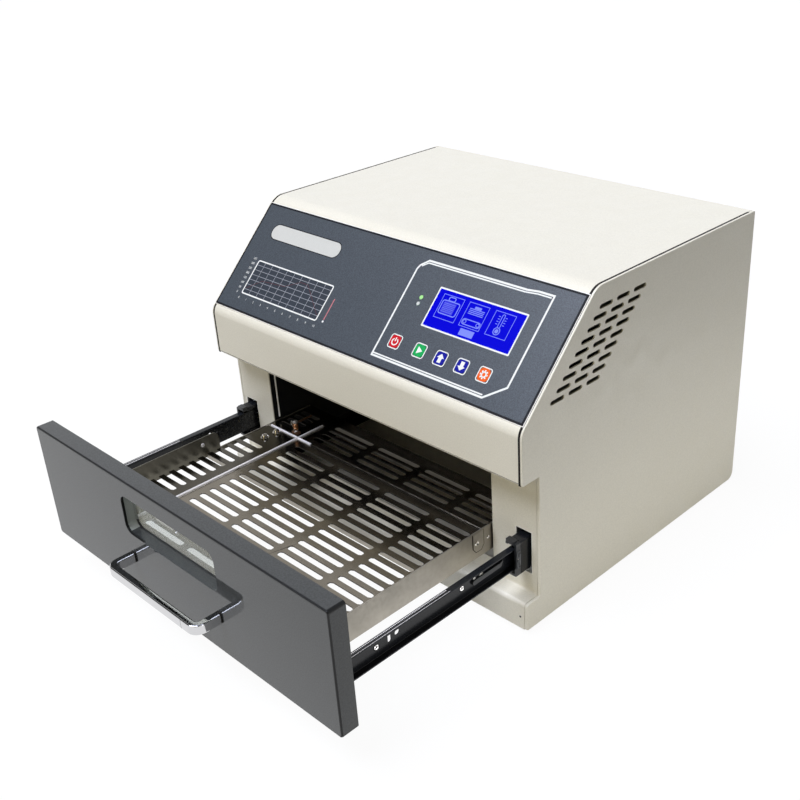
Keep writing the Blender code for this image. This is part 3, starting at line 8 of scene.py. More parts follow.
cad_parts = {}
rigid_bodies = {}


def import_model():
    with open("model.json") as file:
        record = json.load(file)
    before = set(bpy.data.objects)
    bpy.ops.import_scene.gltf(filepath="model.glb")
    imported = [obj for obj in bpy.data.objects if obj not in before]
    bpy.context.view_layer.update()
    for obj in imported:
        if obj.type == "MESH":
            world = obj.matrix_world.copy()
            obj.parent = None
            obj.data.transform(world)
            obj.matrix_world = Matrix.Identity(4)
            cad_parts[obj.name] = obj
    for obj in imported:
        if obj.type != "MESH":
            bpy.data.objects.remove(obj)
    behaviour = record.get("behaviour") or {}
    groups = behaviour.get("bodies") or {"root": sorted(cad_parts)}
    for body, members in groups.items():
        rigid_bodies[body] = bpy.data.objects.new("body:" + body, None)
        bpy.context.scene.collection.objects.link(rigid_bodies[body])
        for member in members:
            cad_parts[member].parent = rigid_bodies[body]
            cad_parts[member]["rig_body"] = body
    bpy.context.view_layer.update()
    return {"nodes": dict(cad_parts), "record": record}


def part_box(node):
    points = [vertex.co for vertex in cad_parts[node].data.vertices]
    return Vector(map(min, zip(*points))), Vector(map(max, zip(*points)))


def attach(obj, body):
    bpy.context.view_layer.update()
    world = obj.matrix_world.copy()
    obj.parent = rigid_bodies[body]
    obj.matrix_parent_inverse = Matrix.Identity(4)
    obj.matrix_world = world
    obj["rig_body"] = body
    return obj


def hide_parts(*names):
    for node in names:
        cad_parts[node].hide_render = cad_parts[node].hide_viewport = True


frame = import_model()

scene = bpy.context.scene

# Camera, as the photograph was taken
CAMERA_PLACE = Vector((0.72349, -0.64021, 0.64277))
CAMERA_AZIMUTH = math.radians(45.202)
CAMERA_ELEVATION = math.radians(27.396)
CAMERA_ROLL = math.radians(2.749)
LENS = 49.389
SENSOR = 36.0
SHIFT_X = -0.0625

# Light
AMBIENT = 0.13
ROOM = 0.05
BACKDROP_RISE = 0.45
BACKDROP_BLUR = 0.35
KEY_STRENGTH = 3.26
KEY_COLOUR = (1.0, 1.06, 1.27)
KEY_FROM = Vector((-0.22, -0.34, 0.91))
KEY_ANGLE = math.radians(40)
FILL_STRENGTH = 0.50
FILL_COLOUR = (1.0, 0.85, 0.45)
FILL_FROM = Vector((0.12, -0.90, 0.30))
SIDE_STRENGTH = 0.45
SIDE_PLACE = Vector((0.445, 0.08, 0.030))
SIDE_AIM = Vector((0.215, 0.08, 0.025))
SIDE_LENGTH = 0.80
SIDE_HEIGHT = 0.08
FLOOR_SIZE = 14.0
FLOOR_GLOW = 0.95
FLOOR_BOUNCE = 0.33

# Noise patterns mostly run between these two levels
PATTERN_LOW = 0.35
PATTERN_HIGH = 0.65

# Meshes
SHARP_ANGLE = math.radians(32)
FLAT_ANGLE = math.radians(0.6)
SAME_POINT = 0.000002
BEVEL = 0.0002
BEVEL_SEGMENTS = 2
NO_BEVEL = ("key_red", "key_green", "key_up", "key_down", "key_orange", "fan_rotor",
            "control_overlay", "display_window", "reflector")
MITRE_LIMIT = 0.3
SIDES = (("left", -1), ("right", 1))

# What is printed or inlaid stands proud by a hair, or only by a skin where the CAD box ends
HAIR = 0.00003
SKIN = 0.000001
DISC_THICK = 0.0001

# Cabinet, measured from the middle of its front face at its lower edge
ORIGIN = Vector((0, -0.0337, 0.004))
CABINET_TOP = 0.301
NOSE_FACE = -0.022
NOSE_TOP = 0.203
NOSE_BEND = 0.014
TOP_BEND = 0.020
REAR_FACE = 0.326
REAR_BEND = 0.008
SEAM_AT = 0.2106
SEAM_WIDTH = 0.0024
SEAM_THICK = 0.0006
SEAM_SINK = 0.00028
SEAM_START = 0.1532
SEAM_END = 0.275
NOSE_SEAM = 0.1550
NOSE_SEAM_HEIGHT = 0.0004
NOSE_SEAM_DEPTH = 0.0005
SLIDE_OPENING_X = (0.1880, 0.2055)
SLIDE_OPENING_Z = (0.0488, 0.0922)
# Width and depth of the painted highlight round the slide openings
HIGHLIGHT_WIDTH = 0.0006
HIGHLIGHT_DEPTH = 0.0004
CHAMBER_EDGE = (-0.1520, -0.1510, 0.0850, 0.1478)
CHAMBER_EDGE_Y = (0.0016, 0.0028)
PLINTH_HOLE = (0.2068, -0.018, 0.0125)
PLINTH_HOLE_RADIUS = 0.0011
PLINTH_HOLE_THICK = 0.00008

# Drawer front and handle, from the same point
DRAWER_FACE = -0.234
FOLD_SLANT = 0.985
REVEAL_SLANT = 0.45
REVEAL_CLEAR = 0.0003
GASKET_SIDE = 0.006
# The front edge of the window that takes a painted dark reflection
WINDOW_EDGE_LEFT = -0.0700
WINDOW_EDGE_LOW = 0.0945
WINDOW_EDGE_HIGH = 0.1340
WINDOW_EDGE_CORNER = 0.009
WINDOW_EDGE_LENGTH = 0.0280
WINDOW_EDGE_TOP = ((0.0022, 0.0028), (0.0006, 0.0058))
WINDOW_EDGE_WIDTH = 0.0004
WINDOW_EDGE_OUT = 0.0001
WINDOW_EDGE_DEPTH = 0.0024
ARM_THICK = 0.0074
ARM_CORNER = 0.0016
ARM_SEAM = 0.0007
BAR_JOINT = (0.0490, 0.0494)
BAR_JOINT_INSET = 0.0010
BAR_JOINT_DEPTH = 0.001

# Tray, from the same point
SLOT_WALL_SLANT = 0.9
LEFT_WALL_X = -0.15
GRATE_TOP = 0.0797
GRATE_SCREWS = ((-0.1341, -0.0321), (-0.1331, -0.0173))
GRATE_SCREW_RISE = 0.0028
RECESS_RADIUS = 0.0016
LEFT_SCREW = (-0.1567, -0.0937, 0.0895)
TRAY_WALL = 0.1579
TAB_Y = (-0.0250, -0.0110)
TAB_Z = (0.0615, 0.0812)
TAB_CORNER = (0.0035, 0.0045)
TAB_THICK = 0.0006
TAB_EDGE = 0.0005
TAB_EDGE_PROUD = 0.00005
TAB_SCREW = (-0.0204, 0.0709)
TAB_SCREW_RADIUS = 0.0024
WALL_RIVET = (-0.0048, 0.0700)
RIVET_RADIUS = 0.0017
ROD_TIP = 0.0003
DULL_ROD_FROM = 0.022

# Drawer slides, from the same point, with x on the right-hand one
RACEWAY_START = DRAWER_FACE + 0.0030
RACEWAY_END = -0.0957
RACEWAY_TOP = 0.0815
BRIGHT_LINE_X = (0.1982, 0.1986)
BRIGHT_LINE_RISE = 0.0001
TEETH_X = (0.1947, 0.1959)
TOOTH_PITCH = 0.0016
TOOTH_SHARE = 0.55
TOOTH_RISE = 0.0003
SLIDE_WEB = 0.1942
SLIDE_SCREWS = ((-0.0778, 0.0716), (-0.1758, 0.0707))
SLIDE_SCREW_RADIUS = 0.0024
SLIDE_RING_RADIUS = 0.0032
CAP_X = (0.1905, 0.2030)
CAP_STEP_SHORT = 0.0030
CAP_STEP_Y = (-0.0175, -0.0118)
CAP_STEP_Z = (0.0870, 0.0894)
CAP_STEP_CORNER = 0.0008
CAP_CLIP_SINK = 0.0002
CAP_CLIP_PROUD = 0.0007
CAP_CLIP = ((-0.0128, 0.0795), (-0.0160, 0.0795), (-0.0166, 0.0750), (-0.0145, 0.0715),
            (-0.0166, 0.0680), (-0.0160, 0.0625), (-0.0128, 0.0625))
CAP_CLIP_WIDTH = 0.0010
CAP_TONGUE = (-0.0142, -0.0124, 0.0650, 0.0770)
CAP_TONGUE_CORNER = 0.0005
CAP_STUD = (-0.0150, 0.0722)
CAP_STUD_RADIUS = 0.0010

# Temperature probe, from its own lower end, upper end and middle
PROBE_IN = 0.003
NUT_RADIUS = 0.0030
NUT_HEIGHT = 0.0030
NUT_SHOULDER = 0.0024
NUT_RISE = 0.0028
TOP_NUT_DROP = 0.0012
COIL_RISE = 0.0064
COIL_RADIUS = 0.0023
COIL_PITCH = 0.00156
COIL_TURNS = 4
COIL_STEPS = 12
COIL_WIRE = 0.0007
LEAD_WIRE = 0.0008
PROBE_LEAD = ((-0.0020, 0, -0.0030), (-0.0060, 0.0010, -0.0022), (-0.0110, 0.0035, -0.0040),
              (-0.0150, 0.0060, -0.0075), (-0.0175, 0.0080, -0.0120))

# Control panel, measured on the overlay from its middle and up the slope from its lower edge
SLOPE = math.radians(45)
OVERLAY_THICK = 0.0008
SURROUND = (0.0001, 0.0008)
SURROUND_SINK = 0.0006
INK = 0.00006
LEAST_RADIUS = 0.00005
EDGE_LINE = 0.0019
STRIP = (-0.1870, -0.0800, 0.0850, 0.1015)
STRIP_EDGE = 0.0010
STRIP_FLAT = 0.0001
LAMP_X = 0.0462
LAMP_ON = (0.0754, 0.0021)
LAMP_OFF = (0.0690, 0.0018)
CHART = (-0.1830, -0.0627, 0.0193, 0.0588)
CHART_COLUMNS = 10
CHART_ROWS = 7
CHART_BORDER = 0.0014
CHART_CORNER = 0.0025
DEGREES_PER_ROW = 50
CHART_LINE = 0.0005
NUMERAL = 0.0034
NUMERAL_DROP = 0.0050
NUMERAL_LEFT = 0.0068
PROFILE = ((0, 0.10), (0.16, 0.48), (0.46, 0.56), (0.62, 0.84), (0.72, 0.84), (1.0, 0.10))
PROFILE_INSET = 0.0025
SCALE_X = -0.0538
SCALE_LOW = 0.0235
SCALE_HIGH = 0.0465
SCALE_LINE = 0.0012
SCALE_DOT = 0.0216
FRAME = (0.0235, 0.1820, 0.0086, 0.1135)
FRAME_CUT = (0.0200, 0.0160)
FRAME_STEP = (0.1520, 0.1640, 0.0014)
FRAME_TOP_LEFT = ((0.0100, 0.0016), (0.0018, 0.0085), (0, 0.0128))
FRAME_LINE = 0.0019
FRAME_SECOND = 0.0013
SECOND_LINES = (((0.0282, 0.1040), (0.0345, 0.1086), (0.1505, 0.1088), (0.1640, 0.1102),
                 (0.1790, 0.1102)), ((0.0253, 0.0119), (0.1608, 0.0119)))

# Display pictures and keys, on the same panel. Boxes run left, right, low, high, some with a
# corner radius, and hatchings left, right, start, count, width.
DISPLAY_BORDER = 0.0015
DISPLAY_DEPTH = 0.0023
DISPLAY_CORNERS = (0.0010, 0.0003)
PICTURES_X = ((0.0697, 0.0950), (0.1010, 0.1250), (0.1320, 0.1554))
PICTURES_V = (0.0620, 0.0858)
PICTURE_CORNER = 0.0002
PICTURE_LINE = 0.00055
CASE = (0.0715, 0.0930, 0.0666, 0.0806)
CASE_CORNER = 0.0026
CASE_GRIP = (0.0772, 0.0856, 0.0800, 0.0847)
CASE_LINE = 0.0010
CASE_FILL = (0.0740, 0.0887, 0.0683, 0.0790, 0.0008)
CASE_HATCH = (0.0747, 0.0880, 0.0695, 6, 0.0004)
BELT = (0.1023, 0.1242, 0.0640, 0.0700)
BELT_CORNER = 0.0029
BELT_HATCH = (0.1044, 0.1218, 0.0752, 4, 0.0008)
WHEELS_X = ((0.1035, 0.1075), (0.1190, 0.1230))
WHEELS_V = (0.0652, 0.0690)
SMALL_CORNER = 0.0018
BOARD = (0.1092, 0.1170, 0.0806, 0.0830, 0.0004)
BULB = (0.1388, 0.1464, 0.0640, 0.0714)
BULB_CORNER = 0.0036
BULB_FILL = (0.1426, 0.0677, 0.0020)
TUBE = (0.1409, 0.1443, 0.0705, 0.0842)
TUBE_CORNER = 0.0016
THICK_LINE = 0.0009
THIN_LINE = 0.0007
HATCH_PITCH = 0.0016
TICKS_X = ((0.1376, 0.1398), (0.1452, 0.1474))
TICKS = (0.0740, 4, 0.0006)
TICK_PITCH = 0.0024
BLANK_BAR = (0.1055, 0.1218, 0.0540, 0.0604, 0.0003)
KEY_BORDER = 0.0011
KEY_CORNER = 0.0028
KEY_GAP = 0.0001
KEY_PROUD = 0.0003
SIGN_LINE = 0.0012
GEAR_TEETH = 8


# Materials

def preset(node, values):
    """Sets the node's inputs by name."""
    for name, value in values.items():
        node.inputs[name].default_value = value


def surface(name, colour, roughness, metallic=0.0):
    """A material with one Principled shader."""
    material = bpy.data.materials.new(name)
    material.use_nodes = True
    preset(shader_of(material), {"Base Color": (*colour, 1), "Roughness": roughness,
                                 "Metallic": metallic})
    return material


def shader_of(material):
    """The material's Principled shader."""
    return material.node_tree.nodes["Principled BSDF"]


def noise(material, scale, detail=2.0):
    """A noise pattern laid through the piece, with scale in cycles per metre."""
    tree = material.node_tree
    place = tree.nodes.new("ShaderNodeTexCoord")
    texture = tree.nodes.new("ShaderNodeTexNoise")
    preset(texture, {"Scale": scale, "Detail": detail})
    tree.links.new(place.outputs["Object"], texture.inputs["Vector"])
    return texture.outputs["Fac"]


def tint(material, pattern, colour, dark, light, low=PATTERN_LOW, high=PATTERN_HIGH):
    """The base colour runs with the pattern from dark times the colour to light times it."""
    tree = material.node_tree
    ramp = tree.nodes.new("ShaderNodeValToRGB")
    for stop, place, factor in zip(ramp.color_ramp.elements, (low, high), (dark, light)):
        stop.position = place
        stop.color = (*[c * factor for c in colour], 1)
    tree.links.new(pattern, ramp.inputs["Fac"])
    tree.links.new(ramp.outputs["Color"], shader_of(material).inputs["Base Color"])


def wear(material, pattern, smooth, rough):
    """The roughness runs from smooth to rough with the pattern."""
    tree = material.node_tree
    spread = tree.nodes.new("ShaderNodeMapRange")
    preset(spread, {"From Min": PATTERN_LOW, "From Max": PATTERN_HIGH, "To Min": smooth,
                    "To Max": rough})
    tree.links.new(pattern, spread.inputs["Value"])
    tree.links.new(spread.outputs["Result"], shader_of(material).inputs["Roughness"])


def bump(material, pattern, depth):
    """The surface rises and falls with the pattern by the depth in metres."""
    tree = material.node_tree
    relief = tree.nodes.new("ShaderNodeBump")
    preset(relief, {"Distance": depth})
    tree.links.new(pattern, relief.inputs["Height"])
    tree.links.new(relief.outputs["Normal"], shader_of(material).inputs["Normal"])


def powder_coat(name, colour, roughness):
    """Baked paint with a fine orange-peel relief and a faint mottle."""
    material = surface(name, colour, roughness)
    mottle = noise(material, scale=900, detail=3)
    tint(material, mottle, colour, dark=0.955, light=1.03)
    sheen = noise(material, scale=60, detail=4)
    wear(material, sheen, smooth=roughness - 0.05, rough=roughness + 0.08)
    bump(material, noise(material, scale=1100), depth=0.00006)
    return material


def metal(name, colour, smooth, rough, smudge=0.88, metallic=1.0):
    """Bare metal with soft smudges and a fine grain."""
    material = surface(name, colour, smooth, metallic)
    tint(material, noise(material, scale=24, detail=5), colour, dark=smudge, light=1)
    wear(material, noise(material, scale=240, detail=3), smooth, rough)
    bump(material, noise(material, scale=1500), depth=0.000012)
    return material


def moulded(name, colour, roughness, shine=0.5):
    """Plain moulded plastic, rubber or even coating."""
    material = surface(name, colour, roughness)
    preset(shader_of(material), {"Specular IOR Level": shine})
    tint(material, noise(material, scale=400, detail=3), colour, dark=0.9, light=1.12)
    bump(material, noise(material, scale=2200), depth=0.00001)
    return material


def gunmetal(name, colour):
    """Metallic paint with a fine fleck under a clear coat that mirrors."""
    material = surface(name, colour, roughness=0.42)
    fleck = noise(material, scale=900, detail=3)
    tint(material, fleck, colour, dark=0.72, light=1.32, low=0.3, high=0.7)
    preset(shader_of(material), {"Specular IOR Level": 0.05, "Coat Weight": 0.85,
                                 "Coat Roughness": 0.045})
    return material


def printed(name, colour, roughness=0.5):
    """Screen-printed ink, very slightly uneven and without much shine."""
    material = surface(name, colour, roughness)
    preset(shader_of(material), {"Specular IOR Level": 0.12})
    tint(material, noise(material, scale=1800), colour, dark=0.93, light=1.04)
    return material


def textured_film(name, colour):
    """The overlay's printed film, with a sandy grain."""
    material = surface(name, colour, roughness=0.36)
    tint(material, noise(material, scale=1100), colour, dark=0.68, light=1.36)
    bump(material, noise(material, scale=1900), depth=0.00004)
    return material


def glass(name):
    """Clear glass with faint smears."""
    material = surface(name, colour=(0.93, 0.97, 0.95), roughness=0.02)
    preset(shader_of(material), {"Transmission Weight": 0.76, "IOR": 1.45})
    wear(material, noise(material, scale=40, detail=4), smooth=0.0, rough=0.035)
    return material


def glowing(name, colour, strength):
    """A lit display or lamp."""
    material = surface(name, colour, roughness=0.2)
    preset(shader_of(material), {"Specular IOR Level": 0.05, "Emission Color": (*colour, 1),
                                 "Emission Strength": strength})
    tint(material, noise(material, scale=700), colour, dark=0.52, light=0.58)
    return material


SLOTS = {name: make(name, *values) for make, name, *values in (
    (powder_coat, "ivory_paint", (0.78, 0.737, 0.60), 0.42),
    (textured_film, "slate_overlay", (0.048, 0.058, 0.067)),
    (gunmetal, "graphite_paint", (0.034, 0.037, 0.037)),
    (metal, "stainless", (0.22, 0.198, 0.165), 0.13, 0.22, 0.84),
    (metal, "bright_steel", (0.90, 0.88, 0.86), 0.08, 0.14),
    (metal, "chrome", (0.68, 0.68, 0.69), 0.02, 0.05, 0.96),
    (moulded, "black_slide", (0.009, 0.010, 0.012), 0.24, 0.3),
    (moulded, "black_plastic", (0.012, 0.013, 0.014), 0.34),
    (moulded, "rubber", (0.02, 0.02, 0.02), 0.75),
    (glass, "clear_glass"),
    (glowing, "display_blue", (0.002, 0.002, 0.56), 0.56),
    (metal, "zinc_steel", (0.62, 0.62, 0.60), 0.30, 0.45),
    (moulded, "black_enamel", (0.005, 0.006, 0.006), 0.5),
    (powder_coat, "ceramic_wool", (0.75, 0.74, 0.70), 0.9),
    (moulded, "quartz", (0.72, 0.70, 0.66), 0.25),
    (metal, "copper_brown", (0.24, 0.13, 0.075), 0.3, 0.5),
    (moulded, "circuit_board", (0.02, 0.14, 0.06), 0.35),
    (metal, "lamination", (0.20, 0.20, 0.21), 0.45, 0.6),
    (printed, "key_red", (0.56, 0.010, 0.018), 0.35),
    (printed, "key_green", (0.012, 0.36, 0.085), 0.35),
    (printed, "key_blue", (0.006, 0.008, 0.27), 0.35),
    (printed, "key_orange", (0.80, 0.115, 0.010), 0.35),
)}
WHITE_INK = printed("white_ink", (0.80, 0.80, 0.74))
GREY_INK = printed("grey_ink", (0.33, 0.34, 0.36))
# Black for printed lines, and painted shade in screw recesses, round screws and in a hole
BLACK_INK_AND_SHADE = printed("black_ink_and_shade", (0.012, 0.012, 0.014))
CHART_INK = printed("chart_ink", (0.034, 0.041, 0.051))
RED_INK = printed("red_ink", (0.52, 0.19, 0.20))
CURVE_INK = printed("curve_ink", (0.10, 0.032, 0.036))
PALE_BLUE = glowing("pale_blue", (0.19, 0.24, 0.78), 0.55)
STRIP_INK = printed("strip_ink", (0.58, 0.575, 0.52))
LAMP_LENS = printed("lamp_lens", (0.62, 0.62, 0.58))
MID_BLUE = glowing("mid_blue", (0.055, 0.060, 0.62), 0.6)
GREEN_LAMP = glowing("green_lamp", (0.40, 0.78, 0.30), 0.5)
SATIN_STEEL = metal("satin_steel", (0.44, 0.41, 0.355), 0.36, 0.50, smudge=0.80)
DULL_STEEL = metal("dull_steel", (0.165, 0.155, 0.125), 0.36, 0.50, smudge=0.72)
# Near-white, half-metallic steel on rods, raceways and a screw: painted highlight
HIGHLIGHT_STEEL = metal("highlight_steel", (0.97, 0.94, 0.92), 0.30, 0.36, smudge=0.97, metallic=0.55)
DARK_STEEL = metal("dark_steel", (0.085, 0.078, 0.062), 0.16, 0.24, smudge=0.80)
# Near black on the grates' slot walls and plate edges: painted shade
GRATE_EDGE_SHADE = metal("grate_edge_shade", (0.030, 0.027, 0.022), 0.35, 0.5)
# Dark grey, lighter than the black cap, on the cap's clip and tongue: painted highlight
CLIP_HIGHLIGHT = moulded("clip_highlight", (0.075, 0.080, 0.084), 0.25)
# Near black on the drawer front's folds and the window's left edge: painted dark reflection
DARK_EDGE_REFLECTION = moulded("dark_edge_reflection", (0.006, 0.0065, 0.0065), 0.4, 0.25)
# Pale grey on the window's side reveals and the gasket's left side: painted reflection
PALE_REVEAL_REFLECTION = powder_coat("pale_reveal_reflection", (0.36, 0.385, 0.355), 0.35)
SEAM_SHADOW = moulded("seam_shadow", (0.016, 0.013, 0.010), 0.6, 0.2)
# Paler than the ivory paint, on edges round the slide openings, the chamber and the overlay:
# painted highlight
EDGE_HIGHLIGHT = powder_coat("edge_highlight", (0.93, 0.90, 0.82), 0.35)
COPPER_WIRE = metal("copper_wire", (0.55, 0.27, 0.13), 0.22, 0.35)


# Outlines in a plane

def turn(centre, radius, start, end, steps):
    """Points on an arc, with angles in degrees."""
    angles = [math.radians(start + (end - start) * i / steps) for i in range(steps + 1)]
    return [(centre[0] + radius * math.cos(a), centre[1] + radius * math.sin(a)) for a in angles]


def round_box(left, right, low, high, radius, steps=6):
    """The outline of a box with rounded corners."""
    corners = ((right - radius, high - radius, 0), (left + radius, high - radius, 90),
               (left + radius, low + radius, 180), (right - radius, low + radius, 270))
    outline = []
    for x, y, start in corners:
        outline += turn((x, y), radius, start, start + 90, steps)
    return outline


def grown(box, by):
    """The box (left, right, low, high), larger by that much all round."""
    left, right, low, high = box
    return left - by, right + by, low - by, high + by


def disc(x, y, radius, steps=24):
    """The outline of a circle."""
    return turn((x, y), radius, 0, 360, steps)[:-1]


def offset(points, distance, closed=True):
    """The outline moved to its left by the distance, with mitred corners."""
    count = len(points)
    moved = []
    for i, point in enumerate(points):
        before = Vector(points[i - 1]) if closed or i else None
        after = Vector(points[(i + 1) % count]) if closed or i < count - 1 else None
        here = Vector(point)
        ways = [(here - before).normalized()] if before is not None else []
        ways += [(after - here).normalized()] if after is not None else []
        sides = [Vector((-w.y, w.x)) for w in ways]
        middle = sum(sides, Vector((0, 0))).normalized()
        reach = distance / max(MITRE_LIMIT, middle.dot(sides[0]))
        moved.append(tuple(here + middle * reach))
    return moved


def stroke(points, width):
    """The outline of a line of that width through the points."""
    half = width / 2
    return offset(points, -half, False) + offset(points, half, False)[::-1]


# Meshes

def add(name, data):
    """An object with that data, put in the scene."""
    shape = bpy.data.objects.new(name, data)
    scene.collection.objects.link(shape)
    return shape


def slab(bm, outline, low, high, to_world):
    """A closed plate of that outline between two levels."""
    count = len(outline)
    bottom = [bm.verts.new(to_world(a, b, low)) for a, b in outline]
    top = [bm.verts.new(to_world(a, b, high)) for a, b in outline]
    bm.faces.new(bottom[::-1])
    bm.faces.new(top)
    for i in range(count):
        j = (i + 1) % count
        bm.faces.new((bottom[i], bottom[j], top[j], top[i]))


def band(bm, outer, inner, low, high, to_world):
    """A closed ring between two outlines with as many points each."""
    count = len(outer)
    rings = []
    for outline, level in ((outer, low), (outer, high), (inner, high), (inner, low)):
        rings.append([bm.verts.new(to_world(a, b, level)) for a, b in outline])
    for near, far in zip(rings, rings[1:] + rings[:1]):
        for i in range(count):
            j = (i + 1) % count
            bm.faces.new((near[i], near[j], far[j], far[i]))


def piece(name, bm, material, body):
    """The mesh becomes an object that rides on a body."""
    bmesh.ops.recalc_face_normals(bm, faces=bm.faces)
    mesh = bpy.data.meshes.new(name)
    bm.to_mesh(mesh)
    bm.free()
    mesh.materials.append(material)
    shape = add(name, mesh)
    mesh.shade_smooth()
    mesh.set_sharp_from_angle(angle=SHARP_ANGLE)
    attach(shape, body)
    return shape


SLOT_OF = {part["node"]: part["material_slot"] for part in frame["record"]["subparts"]}


def refined(node, finish):
    """A finer copy of a CAD node: flat faces whole, edges rounded, bends shaded smooth.
    The finish names other materials, each with a test for its faces."""
    bm = bmesh.new()
    bm.from_mesh(frame["nodes"][node].data)
    bmesh.ops.remove_doubles(bm, verts=bm.verts, dist=SAME_POINT)
    bmesh.ops.dissolve_limit(bm, angle_limit=FLAT_ANGLE, verts=bm.verts, edges=bm.edges)
    if node not in NO_BEVEL:
        sharp = [e for e in bm.edges if len(e.link_faces) == 2
                 and e.calc_face_angle(0) > SHARP_ANGLE]
        bmesh.ops.bevel(bm, geom=sharp, offset=BEVEL, segments=BEVEL_SEGMENTS, profile=0.5,
                        affect="EDGES", clamp_overlap=True)
    for index, (_, fits) in enumerate(finish, 1):
        for face in bm.faces:
            if fits(face):
                face.material_index = index
    slot = SLOT_OF[node]
    main = SATIN_STEEL if node == "tray_frame" else SLOTS[slot]
    fine = piece(node + "_fine", bm, main, body_of(node))
    for material, _ in finish:
        fine.data.materials.append(material)
    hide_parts(node)
    flat = fine.modifiers.new("Flat faces", "WEIGHTED_NORMAL")
    flat.keep_sharp = True


def finish_of(node):
    """The other materials on some of a node's faces, each with its test."""
    if node == "drawer_front":
        return drawer_finish()
    # The gasket's left side takes a painted pale reflection
    if node == "window_gasket":
        return [(PALE_REVEAL_REFLECTION, gasket_left)]
    # The grates' slot walls and plate edges take painted shade
    if node == "side_grate":
        return [(GRATE_EDGE_SHADE, slot_wall), (DARK_STEEL, facing_up)]
    if node.endswith("_grate"):
        return [(GRATE_EDGE_SHADE, slot_wall)]
    if node == "tray_frame":
        return [(DULL_STEEL, left_wall)]
    return []


def drawer_finish():
    """The drawer front's folded edges carry a painted dark reflection, and the sides of its
    window a painted pale reflection.
    """
    low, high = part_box("window_gasket")

    def in_window(face):
        middle = face.calc_center_median()
        return low.x < middle.x < high.x and low.z < middle.z < high.z

    def fold(face):
        return max(abs(c) for c in face.normal) < FOLD_SLANT and not in_window(face)

    def reveal(face):
        ahead = face.calc_center_median().y < low.y - REVEAL_CLEAR
        return in_window(face) and ahead and abs(face.normal.x) > REVEAL_SLANT

    return [(DARK_EDGE_REFLECTION, fold), (PALE_REVEAL_REFLECTION, reveal)]


def gasket_left(face):
    return face.calc_center_median().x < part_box("window_gasket")[0].x + GASKET_SIDE


def slot_wall(face):
    """The walls of a slot and the plate's own edges."""
    return face.normal.z < SLOT_WALL_SLANT


def facing_up(face):
    return not slot_wall(face)


def left_wall(face):
    return face.calc_center_median().x < LEFT_WALL_X


# Small parts

def spot(x, y, z):
    """A point measured from the middle of the cabinet's front face at its lower edge."""
    return ORIGIN + Vector((x, y, z))


def side_on(a, b, n):
    """A plate drawn in y and z, at x = n."""
    return spot(n, a, b)


def front_on(a, b, n):
    """A plate drawn in x and z, at y = n."""
    return spot(a, n, b)


def level_on(a, b, n):
    """A plate drawn in x and y, at z = n."""
    return spot(a, b, n)


def on_side(side, stretch):
    """The stretch in x, from low to high, on the right (1) or mirrored to the left (-1)."""
    return sorted(side * x for x in stretch)


def plates(name, shapes, material, body, to_world):
    """One piece of several closed plates: (outline, low, high)."""
    bm = bmesh.new()
    for outline, start, end in shapes:
        slab(bm, outline, start, end, to_world)
    piece(name, bm, material, body)


def rectangle(left, right, low, high):
    return [(left, low), (right, low), (right, high), (left, high)]


def lathe(bm, profile, centre, axis, steps=20):
    """A closed turned shape, from (radius, height) pairs that start and end on the axis."""
    axis = Vector(axis).normalized()
    across = axis.orthogonal().normalized()
    other = axis.cross(across)
    rings = []
    for radius, height in profile:
        middle = centre + axis * height
        count = steps if radius else 1
        ways = [2 * math.pi * i / steps for i in range(count)]
        rings.append([bm.verts.new(middle + (across * math.cos(a) + other * math.sin(a)) * radius)
                      for a in ways])
    for lower, upper in zip(rings, rings[1:]):
        for i in range(steps):
            j = i + 1
            corners = [lower[i % len(lower)], lower[j % len(lower)],
                       upper[j % len(upper)], upper[i % len(upper)]]
            bm.faces.new(list(dict.fromkeys(corners)))


def turned(name, profile, places, axis, material, body, steps=20):
    """One piece of equal turned shapes, one at each place."""
    bm = bmesh.new()
    for centre in places:
        lathe(bm, profile, centre, axis, steps)
    piece(name, bm, material, body)


def pan_head(washer, head, rise):
    """A washer and a screw head with a driver recess."""
    thick = 0.0007
    return [(0, 0), (washer, 0), (washer, thick), (head, thick + 0.0001),
            (head, thick + 0.5 * rise), (0.78 * head, thick + 0.9 * rise),
            (0.45 * head, thick + rise), (0.30 * head, thick + 0.4 * rise),
            (0, thick + 0.4 * rise)]


def countersunk(radius):
    """A low screw or rivet head with a dimple."""
    rim, crown, dimple = 0.0003, 0.0006, 0.0001
    return [(0, 0), (radius, 0), (radius, rim), (0.75 * radius, crown),
            (0.40 * radius, dimple), (0, dimple)]


def flat_disc(radius, thick):
    return [(0, 0), (radius, 0), (radius, thick), (0, thick)]


def bent(corners, steps=6):
    """The path through (a, b, bend radius) corners."""
    path = [corners[0][:2]]
    for before, corner, after in zip(corners, corners[1:], corners[2:]):
        here, radius = Vector(corner[:2]), corner[2]
        back = (Vector(before[:2]) - here).normalized()
        ahead = (Vector(after[:2]) - here).normalized()
        half = back.angle(ahead) / 2
        centre = here + (back + ahead).normalized() * radius / math.sin(half)
        start = here + back * radius / math.tan(half) - centre
        end = here + ahead * radius / math.tan(half) - centre
        for i in range(steps + 1):
            path.append(tuple(centre + start.lerp(end, i / steps).normalized() * radius))
    path.append(corners[-1][:2])
    return path


def wire(name, points, radius, material, body):
    """A round wire through the points."""
    curve = bpy.data.curves.new(name, "CURVE")
    curve.dimensions = "3D"
    curve.bevel_depth = radius
    curve.bevel_resolution = 3
    curve.use_fill_caps = True
    spline = curve.splines.new("POLY")
    spline.points.add(len(points) - 1)
    for place, point in zip(spline.points, points):
        place.co = (*point, 1)
    spline.use_smooth = True
    curve.materials.append(material)
    shape = add(name, curve)
    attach(shape, body)


def body_of(node):
    return frame["nodes"][node]["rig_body"]


